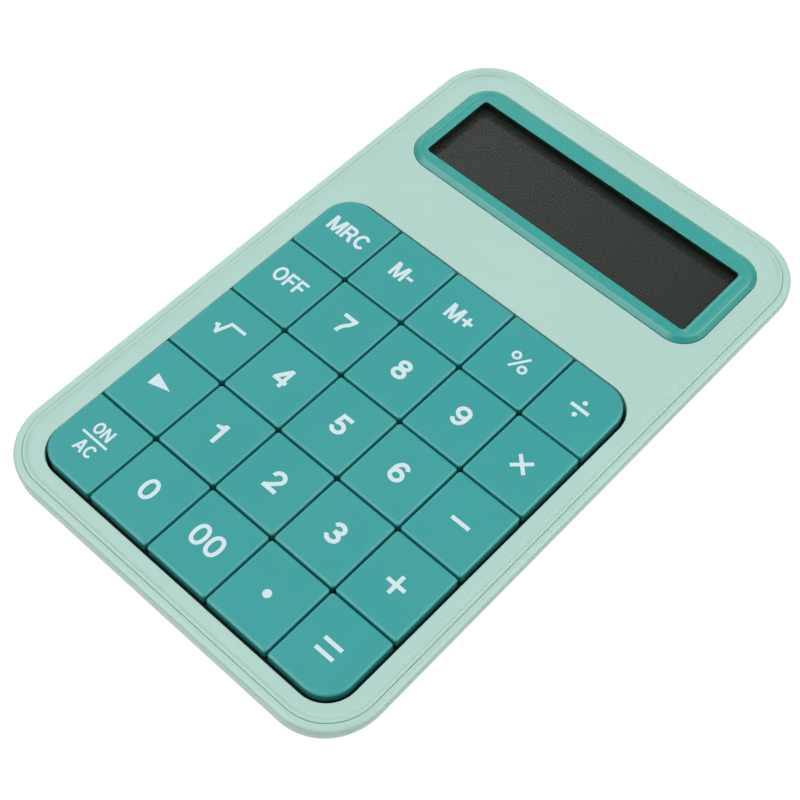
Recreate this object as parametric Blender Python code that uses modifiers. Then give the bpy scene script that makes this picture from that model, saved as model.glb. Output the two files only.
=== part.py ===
"""Desktop calculator with a block of twenty-five keys, a framed display and a coin cell.

Run with blender --background --python part.py, or from Blender's text editor.
Sizes are in millimetres and become metres where meshes and locations are made.
The origin is on the surface the calculator lies on, under the middle of its case.
+X runs along a row of keys, +Y towards the display and +Z up.
"""
import math

import bmesh
import bpy
from mathutils import Matrix, Vector

MM = 0.001
GAP = 0.3

# Case outline, seen from above
CASE_HALF_X = 52.5
CASE_HALF_Y = 82.75
CASE_CORNER = 14.5
CORNER_STEPS = 6

# Heights of the case
BASE_Z = 1.0
FLOOR_Z = 2.6
SIDE_WALL_Z = 12.2
END_WALL_Z = 10.2
UNDER_INSET = 9.0
UNDER_SLOPE = 0.45
SHELL = 1.75
LEDGE_Z = 10.9
LEDGE_HALF_X = 49.4
RIM_Z = 13.95

# Upper case
PANEL_Z = 13.5
PANEL_UNDER_Z = 11.9
LIP_Z = 14.05
TRAY_HALF_X = 50.45

# Key block
KEY_PITCH_X = 18.0
KEY_PITCH_Y = 19.9
KEY_SPACE = 0.5
KEY_BLOCK_Y = -25.9
KEY_TOP_Z = 14.5
KEY_BOTTOM_Z = 11.9
KEY_CORNER = 7.0
KEY_SMALL_CORNER = 0.7
KEY_EDGE = 0.5
KEY_WALL = 1.2
KEY_ROOF = 1.1
STEM_SIDE = 7.0
STEM_BOTTOM_Z = 8.6
HOOK_REACH = 0.8
WELL_SPACE_X = 0.85
WELL_SPACE_Y = 1.1
WELL_RIB = 1.2
WELL_RIB_Z = 10.5

KEY_ROWS = (
    ("key_mrc", "key_m_minus", "key_m_plus", "key_percent", "key_divide"),
    ("key_off", "key_7", "key_8", "key_9", "key_multiply"),
    ("key_square_root", "key_4", "key_5", "key_6", "key_subtract"),
    ("key_backspace", "key_1", "key_2", "key_3", "key_add"),
    ("key_on_clear", "key_0", "key_double_zero", "key_decimal_point", "key_equals"),
)

# Key frame, rubber sheet and circuit board, stacked under the keys
FRAME_Z = (9.2, 10.2)
FRAME_HALF_X = 48.6
FRAME_Y = (-79.1, 37.0)
RUBBER_Z = (5.5, 6.2)
RUBBER_Y = (-76.6, 26.0)
RUBBER_HALF_X = 44.5
DOME_TOP_Z = 8.3
DOME_RADII = (5.2, 2.8)
BOARD_Z = (4.2, 5.2)
BOARD_Y = (-75.0, 46.7)
BOARD_HALF_X = 42.8

# Display
WINDOW = (40.1, 11.15, 58.05)
BEZEL = (44.55, 15.9, 58.75)
BEZEL_BODY = (43.0, 14.3, 58.6)
BEZEL_TOP_Z = 14.5
LENS = (41.6, 12.65, 58.05)
LENS_Z = (12.05, 12.85)
LCD_HALF_X = 41.0
LCD_Y = (44.2, 71.2)
LCD_Z = (9.6, 10.5, 11.4)
LCD_LEDGE = 2.7
HOLDER_HALF_X = 43.0
HOLDER_Y = (42.9, 72.6)
HOLDER_Z = (8.5, 9.3, 11.5)
ZEBRA_HALF_X = 34.0
ZEBRA_Y = (44.5, 46.1)

# Coin cell and its door
CELL_Y = 61.3
CELL_RADIUS = 10.0
CELL_Z = (4.6, 7.8)
DOOR_RADIUS = 12.9
DOOR_RECESS_Z = 2.1
DOOR_NECK_RADIUS = 10.9
DOOR_LUG_RADIUS = 12.4
DOOR_LUG_ANGLE = 22.0
CUP_LEDGE_Z = 3.2
CUP_LUG_Z = 4.5
CUP_TOP_Z = 7.9
CUP_RADII = (14.2, 12.2)
CUP_STEP_Z = 5.7

# Fasteners and feet
SCREW_RADIUS = 1.0
SCREW_HEAD_RADIUS = 2.0
SCREW_HEAD_THICK = 1.0
SCREW_HOLE = SCREW_RADIUS + GAP
BOARD_SCREW_X = 1.5 * KEY_PITCH_X
BOARD_SCREW_DY = 1.5 * KEY_PITCH_Y
TOP_SCREW = (46.0, 62.0)
TOP_SCREW_SEAT_Z = 5.9
FRAME_SCREWS = ((-40.0, 31.0), (0.0, 31.0), (40.0, 31.0))
FOOT_XY = (35.0, 65.0)
FOOT_RADIUS = 4.5
FOOT_HEIGHT = 1.3

COLOURS = {
    "mint": ((0.44, 0.66, 0.58, 1.0), 0.45, 0.0),
    "teal": ((0.065, 0.38, 0.37, 1.0), 0.5, 0.0),
    "frame_black": ((0.01, 0.03, 0.026, 1.0), 0.5, 0.0),
    "holder_white": ((0.75, 0.76, 0.74, 1.0), 0.5, 0.0),
    "silicone": ((0.70, 0.71, 0.70, 1.0), 0.7, 0.0),
    "board_green": ((0.03, 0.16, 0.07, 1.0), 0.5, 0.0),
    "epoxy": ((0.01, 0.01, 0.01, 1.0), 0.35, 0.0),
    "lens": ((0.05, 0.05, 0.05, 1.0), 0.1, 0.0),
    "lcd": ((0.04, 0.045, 0.04, 1.0), 0.2, 0.0),
    "rubber": ((0.02, 0.02, 0.02, 1.0), 0.85, 0.0),
    "steel": ((0.55, 0.55, 0.56, 1.0), 0.3, 1.0),
    "red": ((0.5, 0.02, 0.02, 1.0), 0.4, 0.0),
    "black": ((0.015, 0.015, 0.015, 1.0), 0.45, 0.0),
}


# ---------------------------------------------------------------- scene and objects

def clear_scene():
    """Remove every object that is in the scene."""
    for item in list(bpy.data.objects):
        bpy.data.objects.remove(item, do_unlink=True)


def new_collection(name):
    """Add a collection to the scene."""
    collection = bpy.data.collections.new(name)
    bpy.context.scene.collection.children.link(collection)
    return collection


def new_object(name, data, collection):
    """Put data in an object of its own."""
    item = bpy.data.objects.new(name, data)
    collection.objects.link(item)
    return item


def mesh_object(name, bm, collection):
    """Turn a bmesh, built in millimetres, into an object in metres."""
    bmesh.ops.scale(bm, vec=Vector((MM, MM, MM)), verts=bm.verts)
    bmesh.ops.recalc_face_normals(bm, faces=bm.faces)
    mesh = bpy.data.meshes.new(name)
    bm.to_mesh(mesh)
    bm.free()
    return new_object(name, mesh, collection)


def paint(item, colour):
    """Give an object a Principled material of its own."""
    base, roughness, metallic = COLOURS[colour]
    material = bpy.data.materials.new(item.name)
    material.use_nodes = True
    shader = material.node_tree.nodes["Principled BSDF"]
    shader.inputs["Base Color"].default_value = base
    shader.inputs["Roughness"].default_value = roughness
    shader.inputs["Metallic"].default_value = metallic
    material.diffuse_color = base
    item.data.materials.clear()
    item.data.materials.append(material)
    return item


def hide_tool(item):
    """Mark an object as a cutter or an addition that only feeds a Boolean."""
    item.hide_render = True
    item.display_type = "WIRE"
    return item


def boolean(item, tool, operation):
    """Add an exact Boolean that takes its second solid from a hidden tool."""
    modifier = item.modifiers.new(operation.lower() + "_" + tool.name, "BOOLEAN")
    modifier.operation = operation
    modifier.object = hide_tool(tool)
    return item


def evaluated_mesh(item):
    """The mesh of an object with its modifiers worked out."""
    bpy.context.view_layer.update()
    graph = bpy.context.evaluated_depsgraph_get()
    return bpy.data.meshes.new_from_object(item.evaluated_get(graph))


def bake(item, tools):
    """Replace an object's mesh by its evaluated mesh, and remove the tools it used."""
    mesh = evaluated_mesh(item)
    mesh.name = item.name
    bpy.data.objects.remove(item, do_unlink=True)
    for tool in tools:
        bpy.data.objects.remove(tool, do_unlink=True)
    return mesh


# ---------------------------------------------------------------- outlines, in millimetres

def rounded_rectangle(half_x, half_y, radii, centre_y=0.0, steps=CORNER_STEPS):
    """Rectangle with its own radius at each corner, from the lower right one anticlockwise."""
    corners = ((1, -1, -90.0), (1, 1, 0.0), (-1, 1, 90.0), (-1, -1, 180.0))
    points = []
    for (side_x, side_y, start), radius in zip(corners, radii):
        middle_x = side_x * (half_x - radius)
        middle_y = side_y * (half_y - radius) + centre_y
        turns = steps if radius > 1.0 else 1
        for step in range(turns + 1):
            angle = math.radians(start + 90.0 * step / turns)
            point_x = middle_x + radius * math.cos(angle)
            points.append((point_x, middle_y + radius * math.sin(angle)))
    return points


def case_loop(inset, inset_y=None, z=0.0):
    """The case's outline drawn in by an inset, at one height."""
    inset_y = inset if inset_y is None else inset_y
    radius = max(CASE_CORNER - 0.5 * (inset + inset_y), 1.5)
    outline = rounded_rectangle(CASE_HALF_X - inset, CASE_HALF_Y - inset_y, (radius,) * 4)
    return [Vector((x, y, z)) for x, y in outline]


def circle(radius, centre, sides=12):
    """A round hole's outline."""
    turn = 2.0 * math.pi / sides
    return [
        (centre[0] + radius * math.cos(turn * k), centre[1] + radius * math.sin(turn * k))
        for k in range(sides)
    ]


def span(low_high):
    """Half length and middle of a low and high value."""
    low, high = low_high
    return 0.5 * (high - low), 0.5 * (high + low)


# ---------------------------------------------------------------- solids

def loft(name, loops, collection):
    """Skin a row of loops that have the same number of points, and close both ends."""
    bm = bmesh.new()
    rings = [[bm.verts.new(point) for point in loop] for loop in loops]
    count = len(rings[0])
    for ring, following in zip(rings, rings[1:]):
        for k in range(count):
            after = (k + 1) % count
            bm.faces.new((ring[k], ring[after], following[after], following[k]))
    bm.faces.new(rings[0])
    bm.faces.new(rings[-1])
    return mesh_object(name, bm, collection)


def ring_loft(name, loops, collection):
    """Skin a closed row of loops, which makes a frame with a hole through it."""
    bm = bmesh.new()
    rings = [[bm.verts.new(point) for point in loop] for loop in loops]
    count = len(rings[0])
    for index, ring in enumerate(rings):
        following = rings[(index + 1) % len(rings)]
        for k in range(count):
            after = (k + 1) % count
            bm.faces.new((ring[k], ring[after], following[after], following[k]))
    return mesh_object(name, bm, collection)


def plate(name, outlines, low_high, collection):
    """A flat plate: the first outline is its edge and the others are its holes."""
    thickness, middle = span(low_high)
    curve = bpy.data.curves.new(name, "CURVE")
    curve.dimensions = "2D"
    curve.fill_mode = "BOTH"
    curve.extrude = thickness * MM
    for outline in outlines:
        spline = curve.splines.new("POLY")
        spline.points.add(len(outline) - 1)
        spline.use_cyclic_u = True
        for point, (x, y) in zip(spline.points, outline):
            point.co = (x * MM, y * MM, 0.0, 1.0)
    drawn = new_object(name + "_outline", curve, collection)
    mesh = evaluated_mesh(drawn)
    bpy.data.objects.remove(drawn, do_unlink=True)
    bm = bmesh.new()
    bm.from_mesh(mesh)
    bmesh.ops.remove_doubles(bm, verts=bm.verts, dist=0.00001)
    bmesh.ops.translate(bm, vec=Vector((0.0, 0.0, middle * MM)), verts=bm.verts)
    bmesh.ops.recalc_face_normals(bm, faces=bm.faces)
    bm.to_mesh(mesh)
    bm.free()
    mesh.name = name
    return new_object(name, mesh, collection)


def box(name, x_range, y_range, z_range, collection):
    """A box between two corners."""
    size_x, middle_x = span(x_range)
    size_y, middle_y = span(y_range)
    size_z, middle_z = span(z_range)
    bm = bmesh.new()
    bmesh.ops.create_cube(bm, size=2.0)
    bmesh.ops.scale(bm, vec=Vector((size_x, size_y, size_z)), verts=bm.verts)
    bmesh.ops.translate(bm, vec=Vector((middle_x, middle_y, middle_z)), verts=bm.verts)
    return mesh_object(name, bm, collection)


def cylinder(name, radii, z_range, centre, collection, sides=12):
    """An upright cylinder or cone: radii are its lower and upper ones."""
    height, middle_z = span(z_range)
    bm = bmesh.new()
    bmesh.ops.create_cone(
        bm, cap_ends=True, segments=sides, radius1=radii[0], radius2=radii[1], depth=2.0 * height
    )
    bmesh.ops.translate(bm, vec=Vector((centre[0], centre[1], middle_z)), verts=bm.verts)
    return mesh_object(name, bm, collection)


def turned(name, profile, centre, collection, steps=24, closed=False):
    """Turn a profile of (radius, height) points, top to bottom, round an upright axis.

    A closed profile makes a ring.
    """
    bm = bmesh.new()
    points = [bm.verts.new((radius, 0.0, z)) for radius, z in profile]
    for start, end in zip(points, points[1:]):
        bm.edges.new((start, end))
    if closed:
        bm.edges.new((points[-1], points[0]))
    item = mesh_object(name, bm, collection)
    item.location = (centre[0] * MM, centre[1] * MM, 0.0)
    spin = item.modifiers.new("turn", "SCREW")
    spin.steps = steps
    spin.render_steps = steps
    spin.use_merge_vertices = True
    spin.merge_threshold = 0.00001
    return item


def joined(name, items, collection):
    """Gather solids that don't touch each other into one object, for use in one Boolean."""
    bm = bmesh.new()
    for item in items:
        mesh = evaluated_mesh(item)
        mesh.transform(item.matrix_world)
        bm.from_mesh(mesh)
        bpy.data.objects.remove(item, do_unlink=True)
        bpy.data.meshes.remove(mesh)
    mesh = bpy.data.meshes.new(name)
    bm.to_mesh(mesh)
    bm.free()
    return new_object(name, mesh, collection)


# ---------------------------------------------------------------- layout

def key_centre(row, column):
    """Middle of a key, with row 0 nearest the display."""
    return (column - 2) * KEY_PITCH_X, KEY_BLOCK_Y + (2 - row) * KEY_PITCH_Y


def key_centres():
    """Middles of all the keys."""
    return [key_centre(row, column) for row in range(5) for column in range(5)]


def board_screw_centres():
    """Places where a case screw passes through the circuit board, between four keys."""
    return [
        (side * BOARD_SCREW_X, KEY_BLOCK_Y + end * BOARD_SCREW_DY)
        for side in (-1, 1) for end in (-1, 1)
    ]


def top_screw_centres():
    """Places of the two case screws beside the display."""
    return [(side * TOP_SCREW[0], TOP_SCREW[1]) for side in (-1, 1)]


def foot_centres():
    """Places of the rubber feet."""
    return [(side * FOOT_XY[0], end * FOOT_XY[1]) for end in (-1, 1) for side in (-1, 1)]


def well_outline(grow):
    """Outline of the opening round the key block, made larger by grow."""
    half_x = 2.5 * KEY_PITCH_X - 0.5 * KEY_SPACE + WELL_SPACE_X + grow
    half_y = 2.5 * KEY_PITCH_Y - 0.5 * KEY_SPACE + WELL_SPACE_Y + grow
    radius = KEY_CORNER + 1.0 + grow
    return rounded_rectangle(half_x, half_y, (radius,) * 4, KEY_BLOCK_Y)


# ---------------------------------------------------------------- case

def under_curve(z, wall_z, bottom_z):
    """Inset of the wall, which slopes in below its upright part and then rounds into the flat base."""
    drop = (wall_z - z) / (wall_z - bottom_z)
    if drop <= 0.0:
        return 0.0
    rounding = 1.0 - math.sqrt(max(0.0, 1.0 - drop * drop))
    return UNDER_INSET * (UNDER_SLOPE * drop + (1.0 - UNDER_SLOPE) * rounding)


def lower_case_loops():
    """Loops of the lower case, from the middle of its base over the rim to its inner floor."""
    outer_angles = (90, 78, 64, 48, 30, 14, 0)
    inner_angles = (9, 42, 56, 70, 90)
    outer_drop = END_WALL_Z - BASE_Z
    loops = []
    for angle in outer_angles:
        z = END_WALL_Z - outer_drop * math.sin(math.radians(angle))
        side = under_curve(z, SIDE_WALL_Z, BASE_Z)
        end = under_curve(z, END_WALL_Z, BASE_Z)
        loops.append(case_loop(side, end, z))
    loops.append(case_loop(0.0, None, SIDE_WALL_Z))
    loops.append(case_loop(0.0, None, RIM_Z - 0.75))
    loops.append(case_loop(0.18, None, RIM_Z - 0.32))
    loops.append(case_loop(0.6, None, RIM_Z - 0.12))
    loops.append(case_loop(1.35, None, RIM_Z))
    loops.append(case_loop(SHELL, None, RIM_Z - 0.15))
    loops.append(case_loop(SHELL, None, LEDGE_Z))
    ledge_inset = CASE_HALF_X - LEDGE_HALF_X
    loops.append(case_loop(ledge_inset, None, LEDGE_Z))
    inner_drop = END_WALL_Z - FLOOR_Z
    for angle in inner_angles:
        z = END_WALL_Z - inner_drop * math.sin(math.radians(angle))
        side = under_curve(z, SIDE_WALL_Z, FLOOR_Z) + SHELL
        end = under_curve(z, END_WALL_Z, FLOOR_Z) + SHELL
        loops.append(case_loop(max(side, ledge_inset), max(end, ledge_inset), z))
    return loops


def wall_core(depth):
    """Loops at a depth inside the lower case's wall. What is moulded to the wall ends at them."""
    bottom_z = BASE_Z + depth
    loops = []
    for angle in (90, 78, 64, 48, 30, 14, 0):
        z = END_WALL_Z - (END_WALL_Z - bottom_z) * math.sin(math.radians(angle))
        side = under_curve(z, SIDE_WALL_Z, bottom_z) + depth
        end = under_curve(z, END_WALL_Z, bottom_z) + depth
        loops.append(case_loop(side, end, z))
    return loops


def cup_profile():
    """Section of the ring wall round the coin cell, with the groove that the door's lugs turn in."""
    bore = CELL_RADIUS + 0.5
    foot_z = 2.0
    ledge = DOOR_NECK_RADIUS + 0.1
    return (
        (bore, CUP_TOP_Z), (CUP_RADII[1], CUP_TOP_Z), (CUP_RADII[1], CUP_STEP_Z),
        (CUP_RADII[0], CUP_STEP_Z), (CUP_RADII[0], foot_z), (ledge, foot_z),
        (ledge, CUP_LEDGE_Z), (DOOR_RADIUS, CUP_LEDGE_Z), (DOOR_RADIUS, CUP_LUG_Z),
        (bore, CUP_LUG_Z),
    )


def make_lower_case(parts, tools):
    """Tray with the rim, screw bosses, board posts, coin cell cup and foot recesses."""
    case = loft("lower_case", lower_case_loops(), parts)
    bosses = []
    for index, centre in enumerate(board_screw_centres()):
        bosses.append(cylinder(f"boss_{index}", (3.2, 3.2), (2.0, 3.9), centre, tools))
    for index, centre in enumerate(top_screw_centres()):
        bosses.append(cylinder(f"tall_boss_{index}", (3.2, 3.0), (3.0, 8.0), centre, tools))
    for index, centre in enumerate(((-38.0, 40.0), (38.0, 40.0), (0.0, 4.0), (0.0, -56.0))):
        bosses.append(cylinder(f"post_{index}", (2.0, 1.6), (2.0, 3.9), centre, tools, 8))
    for index, x in enumerate((-25.0, 0.0, 25.0)):
        rest_x = (x - 3.0, x + 3.0)
        bosses.append(box(f"frame_rest_{index}", rest_x, (-80.0, -77.2), (4.5, 8.9), tools))
    bosses = joined("lower_case_bosses", bosses, tools)
    boolean(bosses, loft("wall_core", wall_core(0.8), tools), "INTERSECT")
    boolean(case, bosses, "UNION")
    boolean(case, turned("cell_cup", cup_profile(), (0.0, CELL_Y), tools, 24, True), "UNION")
    hole = DOOR_NECK_RADIUS + GAP
    recess = DOOR_RADIUS + GAP
    door_profile = (
        (0.0, 4.0), (hole, 4.0), (hole, DOOR_RECESS_Z), (recess, DOOR_RECESS_Z),
        (recess, 0.0), (0.0, 0.0),
    )
    boolean(case, turned("door_hole", door_profile, (0.0, CELL_Y), tools, 24), "DIFFERENCE")
    cuts = []
    for index, centre in enumerate(board_screw_centres()):
        cuts.append(screw_bore(f"bore_{index}", centre, FLOOR_Z, 5.0, tools))
    for index, centre in enumerate(top_screw_centres()):
        cuts.append(screw_bore(f"top_bore_{index}", centre, TOP_SCREW_SEAT_Z, 9.0, tools))
    for index, centre in enumerate(foot_centres()):
        radius = FOOT_RADIUS + GAP
        cuts.append(cylinder(f"foot_recess_{index}", (radius, radius), (0.0, 1.6), centre, tools, 16))
    half_width = DOOR_LUG_RADIUS * math.sin(math.radians(DOOR_LUG_ANGLE)) + GAP
    for index, angle in enumerate((45.0, 225.0)):
        notch = box(f"lug_notch_{index}", (DOOR_NECK_RADIUS - 1.0, DOOR_LUG_RADIUS + GAP),
                    (-half_width, half_width), (DOOR_RECESS_Z - 0.3, CUP_LEDGE_Z + 0.3), tools)
        notch.data.transform(Matrix.Rotation(math.radians(angle), 4, "Z"))
        notch.data.transform(Matrix.Translation((0.0, CELL_Y * MM, 0.0)))
        cuts.append(notch)
    slot_x = (CELL_RADIUS, CUP_RADII[1] + 0.5)
    slot = box("contact_slot", slot_x, (CELL_Y - 2.6, CELL_Y + 2.6), (4.8, 8.5), tools)
    cuts.append(slot)
    boolean(case, joined("lower_case_cuts", cuts, tools), "DIFFERENCE")
    return paint(case, "mint")


def screw_bore(name, centre, seat_z, top_z, tools):
    """Stepped cutter for a screw that enters from below: a wide bore for the head, then its hole."""
    head = SCREW_HEAD_RADIUS + GAP
    profile = (
        (0.0, top_z), (SCREW_HOLE, top_z), (SCREW_HOLE, seat_z), (head, seat_z), (head, -0.5),
        (0.0, -0.5),
    )
    return turned(name, profile, centre, tools, 12)


def make_upper_case(parts, tools):
    """Panel with the raised lip, the wall round the keys and the display's seat."""
    edge = CASE_HALF_X - TRAY_HALF_X
    sections = (
        (edge + 1.4, PANEL_UNDER_Z), (edge + 1.4, LEDGE_Z + GAP), (edge, LEDGE_Z + GAP),
        (edge, LIP_Z - 0.3), (edge + 0.2, LIP_Z - 0.06), (edge + 0.5, LIP_Z),
        (edge + 0.9, LIP_Z - 0.1), (edge + 1.25, LIP_Z - 0.33), (edge + 1.5, LIP_Z - 0.5),
        (edge + 1.8, PANEL_Z),
    )
    case = loft("upper_case", [case_loop(inset, None, z) for inset, z in sections], parts)
    rib = plate("well_rib", [well_outline(WELL_RIB)], (WELL_RIB_Z, 12.5), tools)
    boolean(case, rib, "UNION")
    bosses = []
    for index, centre in enumerate(FRAME_SCREWS):
        bosses.append(cylinder(f"frame_boss_{index}", (1.9, 1.9), (WELL_RIB_Z, 12.5), centre, tools))
    for index, centre in enumerate(top_screw_centres()):
        bosses.append(cylinder(f"case_boss_{index}", (2.4, 2.4), (8.3, 12.5), centre, tools))
    boolean(case, joined("upper_case_bosses", bosses, tools), "UNION")
    well = plate("well", [well_outline(0.0)], (9.0, 15.0), tools)
    opening = display_outline(BEZEL_BODY, 0.2, 4.5)
    hole = plate("display_hole", [opening], (9.0, 15.0), tools)
    screw_holes = []
    for index, centre in enumerate(FRAME_SCREWS):
        radii = (SCREW_HOLE, SCREW_HOLE)
        screw_holes.append(cylinder(f"frame_pilot_{index}", radii, (9.0, 13.0), centre, tools))
    for index, centre in enumerate(top_screw_centres()):
        radii = (SCREW_HOLE, SCREW_HOLE)
        screw_holes.append(cylinder(f"case_pilot_{index}", radii, (7.0, 12.7), centre, tools))
    boolean(case, joined("upper_case_cuts", [well, hole] + screw_holes, tools), "DIFFERENCE")
    seat = plate("bezel_seat", [display_outline(BEZEL, 0.2, 6.4)], (12.9, 15.0), tools)
    boolean(case, seat, "DIFFERENCE")
    return paint(case, "mint")


# ---------------------------------------------------------------- keys and what they press

def key_solid(name, corner, tools):
    """Hollow key cap with a stem and two hooks; corner names the corner that is widely rounded."""
    half_x = 0.5 * (KEY_PITCH_X - KEY_SPACE)
    half_y = 0.5 * (KEY_PITCH_Y - KEY_SPACE)
    radii = [KEY_CORNER if index == corner else KEY_SMALL_CORNER for index in range(4)]
    levels = (
        (0.0, KEY_BOTTOM_Z), (0.0, KEY_TOP_Z - KEY_EDGE),
        (0.15, KEY_TOP_Z - 0.15), (KEY_EDGE, KEY_TOP_Z),
    )
    loops = []
    for inset, z in levels:
        rounds = [max(radius - inset, 0.2) for radius in radii]
        outline = rounded_rectangle(half_x - inset, half_y - inset, rounds)
        loops.append([Vector((x, y, z - KEY_BOTTOM_Z)) for x, y in outline])
    cap = loft(name, loops, tools)
    inner_radii = [max(radius - KEY_WALL, 0.0) for radius in radii]
    pocket_outline = rounded_rectangle(half_x - KEY_WALL, half_y - KEY_WALL, inner_radii)
    pocket = plate("pocket", [pocket_outline], (-1.0, KEY_TOP_Z - KEY_ROOF - KEY_BOTTOM_Z), tools)
    half = 0.5 * STEM_SIDE
    foot_z = STEM_BOTTOM_Z - KEY_BOTTOM_Z
    stem = box("stem", (-half, half), (-half, half), (foot_z, 1.8), tools)
    hook_reach = half + HOOK_REACH
    hooks = box("hooks", (-hook_reach, hook_reach), (-1.5, 1.5), (foot_z, foot_z + 0.35), tools)
    boolean(cap, pocket, "DIFFERENCE")
    boolean(cap, stem, "UNION")
    boolean(cap, hooks, "UNION")
    return bake(cap, (pocket, stem, hooks))


def make_keys(parts, tools):
    """All the keys. The four at the block's corners have one wide corner each."""
    corner_of = {(4, 4): 0, (0, 4): 1, (0, 0): 2, (4, 0): 3}
    solids = {}
    for row, names in enumerate(KEY_ROWS):
        for column, name in enumerate(names):
            corner = corner_of.get((row, column))
            if corner not in solids:
                solids[corner] = key_solid("key_shape", corner, tools)
            x, y = key_centre(row, column)
            key = new_object(name, solids[corner].copy(), parts)
            key.location = (x * MM, y * MM, KEY_BOTTOM_Z * MM)
            paint(key, "teal")


def make_key_frame(parts, tools):
    """Plate under the keys: its square holes guide the stems, and its bosses take the case screws."""
    half_y, middle_y = span(FRAME_Y)
    outlines = [rounded_rectangle(FRAME_HALF_X, half_y, (10.9, 3.0, 3.0, 10.9), middle_y)]
    half = 0.5 * STEM_SIDE + 0.4
    for x, y in key_centres():
        outlines.append([
            (x - half, y - half), (x + half, y - half),
            (x + half, y + half), (x - half, y + half),
        ])
    for centre in FRAME_SCREWS:
        outlines.append(circle(SCREW_HOLE, centre))
    frame = plate("key_frame", outlines, FRAME_Z, parts)
    bosses = []
    pilots = []
    for index, centre in enumerate(board_screw_centres()):
        bosses.append(cylinder(f"frame_post_{index}", (2.8, 2.8), (6.5, 9.7), centre, tools, 10))
        pilots.append(cylinder(f"frame_hole_{index}", (SCREW_HOLE,) * 2, (6.0, 9.8), centre, tools, 10))
    boolean(frame, joined("frame_posts", bosses, tools), "UNION")
    boolean(frame, joined("frame_holes", pilots, tools), "DIFFERENCE")
    return paint(frame, "frame_black")


def make_rubber_keypad(parts, tools):
    """Silicone sheet with a hollow dome under every key."""
    half_y, middle_y = span(RUBBER_Y)
    outlines = [rounded_rectangle(RUBBER_HALF_X, half_y, (8.0,) * 4, middle_y, 4)]
    for centre in board_screw_centres():
        outlines.append(circle(SCREW_RADIUS + 0.8, centre, 8))
    sheet = plate("rubber_keypad", outlines, RUBBER_Z, parts)
    domes = []
    hollows = []
    lower, upper = DOME_RADII
    for index, centre in enumerate(key_centres()):
        domes.append(cylinder(f"dome_{index}", (lower, upper), (6.0, DOME_TOP_Z), centre, tools, 10))
        inner_radii = (lower - 0.6, upper - 0.5)
        hollows.append(cylinder(f"hollow_{index}", inner_radii, (5.0, 7.5), centre, tools, 10))
    boolean(sheet, joined("domes", domes, tools), "UNION")
    boolean(sheet, joined("dome_hollows", hollows, tools), "DIFFERENCE")
    return paint(sheet, "silicone")


def make_circuit_board(parts):
    """Board with holes for the case screws."""
    half_y, middle_y = span(BOARD_Y)
    outlines = [rounded_rectangle(BOARD_HALF_X, half_y, (6.0, 1.5, 1.5, 6.0), middle_y, 3)]
    for centre in board_screw_centres():
        outlines.append(circle(SCREW_RADIUS + 0.6, centre, 8))
    return paint(plate("circuit_board", outlines, BOARD_Z, parts), "board_green")


def make_board_parts(parts):
    """Encapsulated chip and buffer capacitor, on the board between the keys and the display."""
    top = BOARD_Z[1] + GAP
    blob_profile = ((0.0, top + 1.3), (3.0, top + 1.15), (5.2, top + 0.6), (6.0, top), (0.0, top))
    paint(turned("chip_blob", blob_profile, (-6.0, 34.5), parts, 20), "epoxy")
    can_profile = ((0.0, top + 2.2), (1.8, top + 2.2), (2.0, top + 2.0), (2.0, top), (0.0, top))
    paint(turned("capacitor", can_profile, (22.0, 34.5), parts, 14), "steel")


# ---------------------------------------------------------------- display

def display_outline(shape, grow, radius):
    """Rounded outline of a display piece given as half width, half height and middle."""
    half_x, half_y, middle_y = shape
    return rounded_rectangle(half_x + grow, half_y + grow, (radius,) * 4, middle_y)


def display_loop(shape, grow, radius, z):
    """A display outline as a loop at one height."""
    return [Vector((x, y, z)) for x, y in display_outline(shape, grow, radius)]


def make_bezel(parts):
    """Raised frame of the display, with a soft outer shoulder and a seat for the lens."""
    loops = (
        display_loop(BEZEL, -2.6, 3.7, BEZEL_TOP_Z),
        display_loop(WINDOW, 0.3, 1.2, BEZEL_TOP_Z),
        display_loop(WINDOW, 0.0, 1.1, BEZEL_TOP_Z - 0.25),
        display_loop(WINDOW, 0.0, 1.1, 13.0),
        display_loop(LENS, 0.3, 1.6, 13.0),
        display_loop(LENS, 0.3, 1.6, 12.0),
        display_loop(BEZEL_BODY, 0.0, 4.3, 12.0),
        display_loop(BEZEL_BODY, 0.0, 4.3, 13.1),
        display_loop(BEZEL, 0.0, 6.2, 13.1),
        display_loop(BEZEL, 0.0, 6.2, 13.75),
        display_loop(BEZEL, -0.45, 5.8, 14.1),
        display_loop(BEZEL, -1.3, 5.0, 14.4),
    )
    return paint(ring_loft("display_bezel", loops, parts), "teal")


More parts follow.
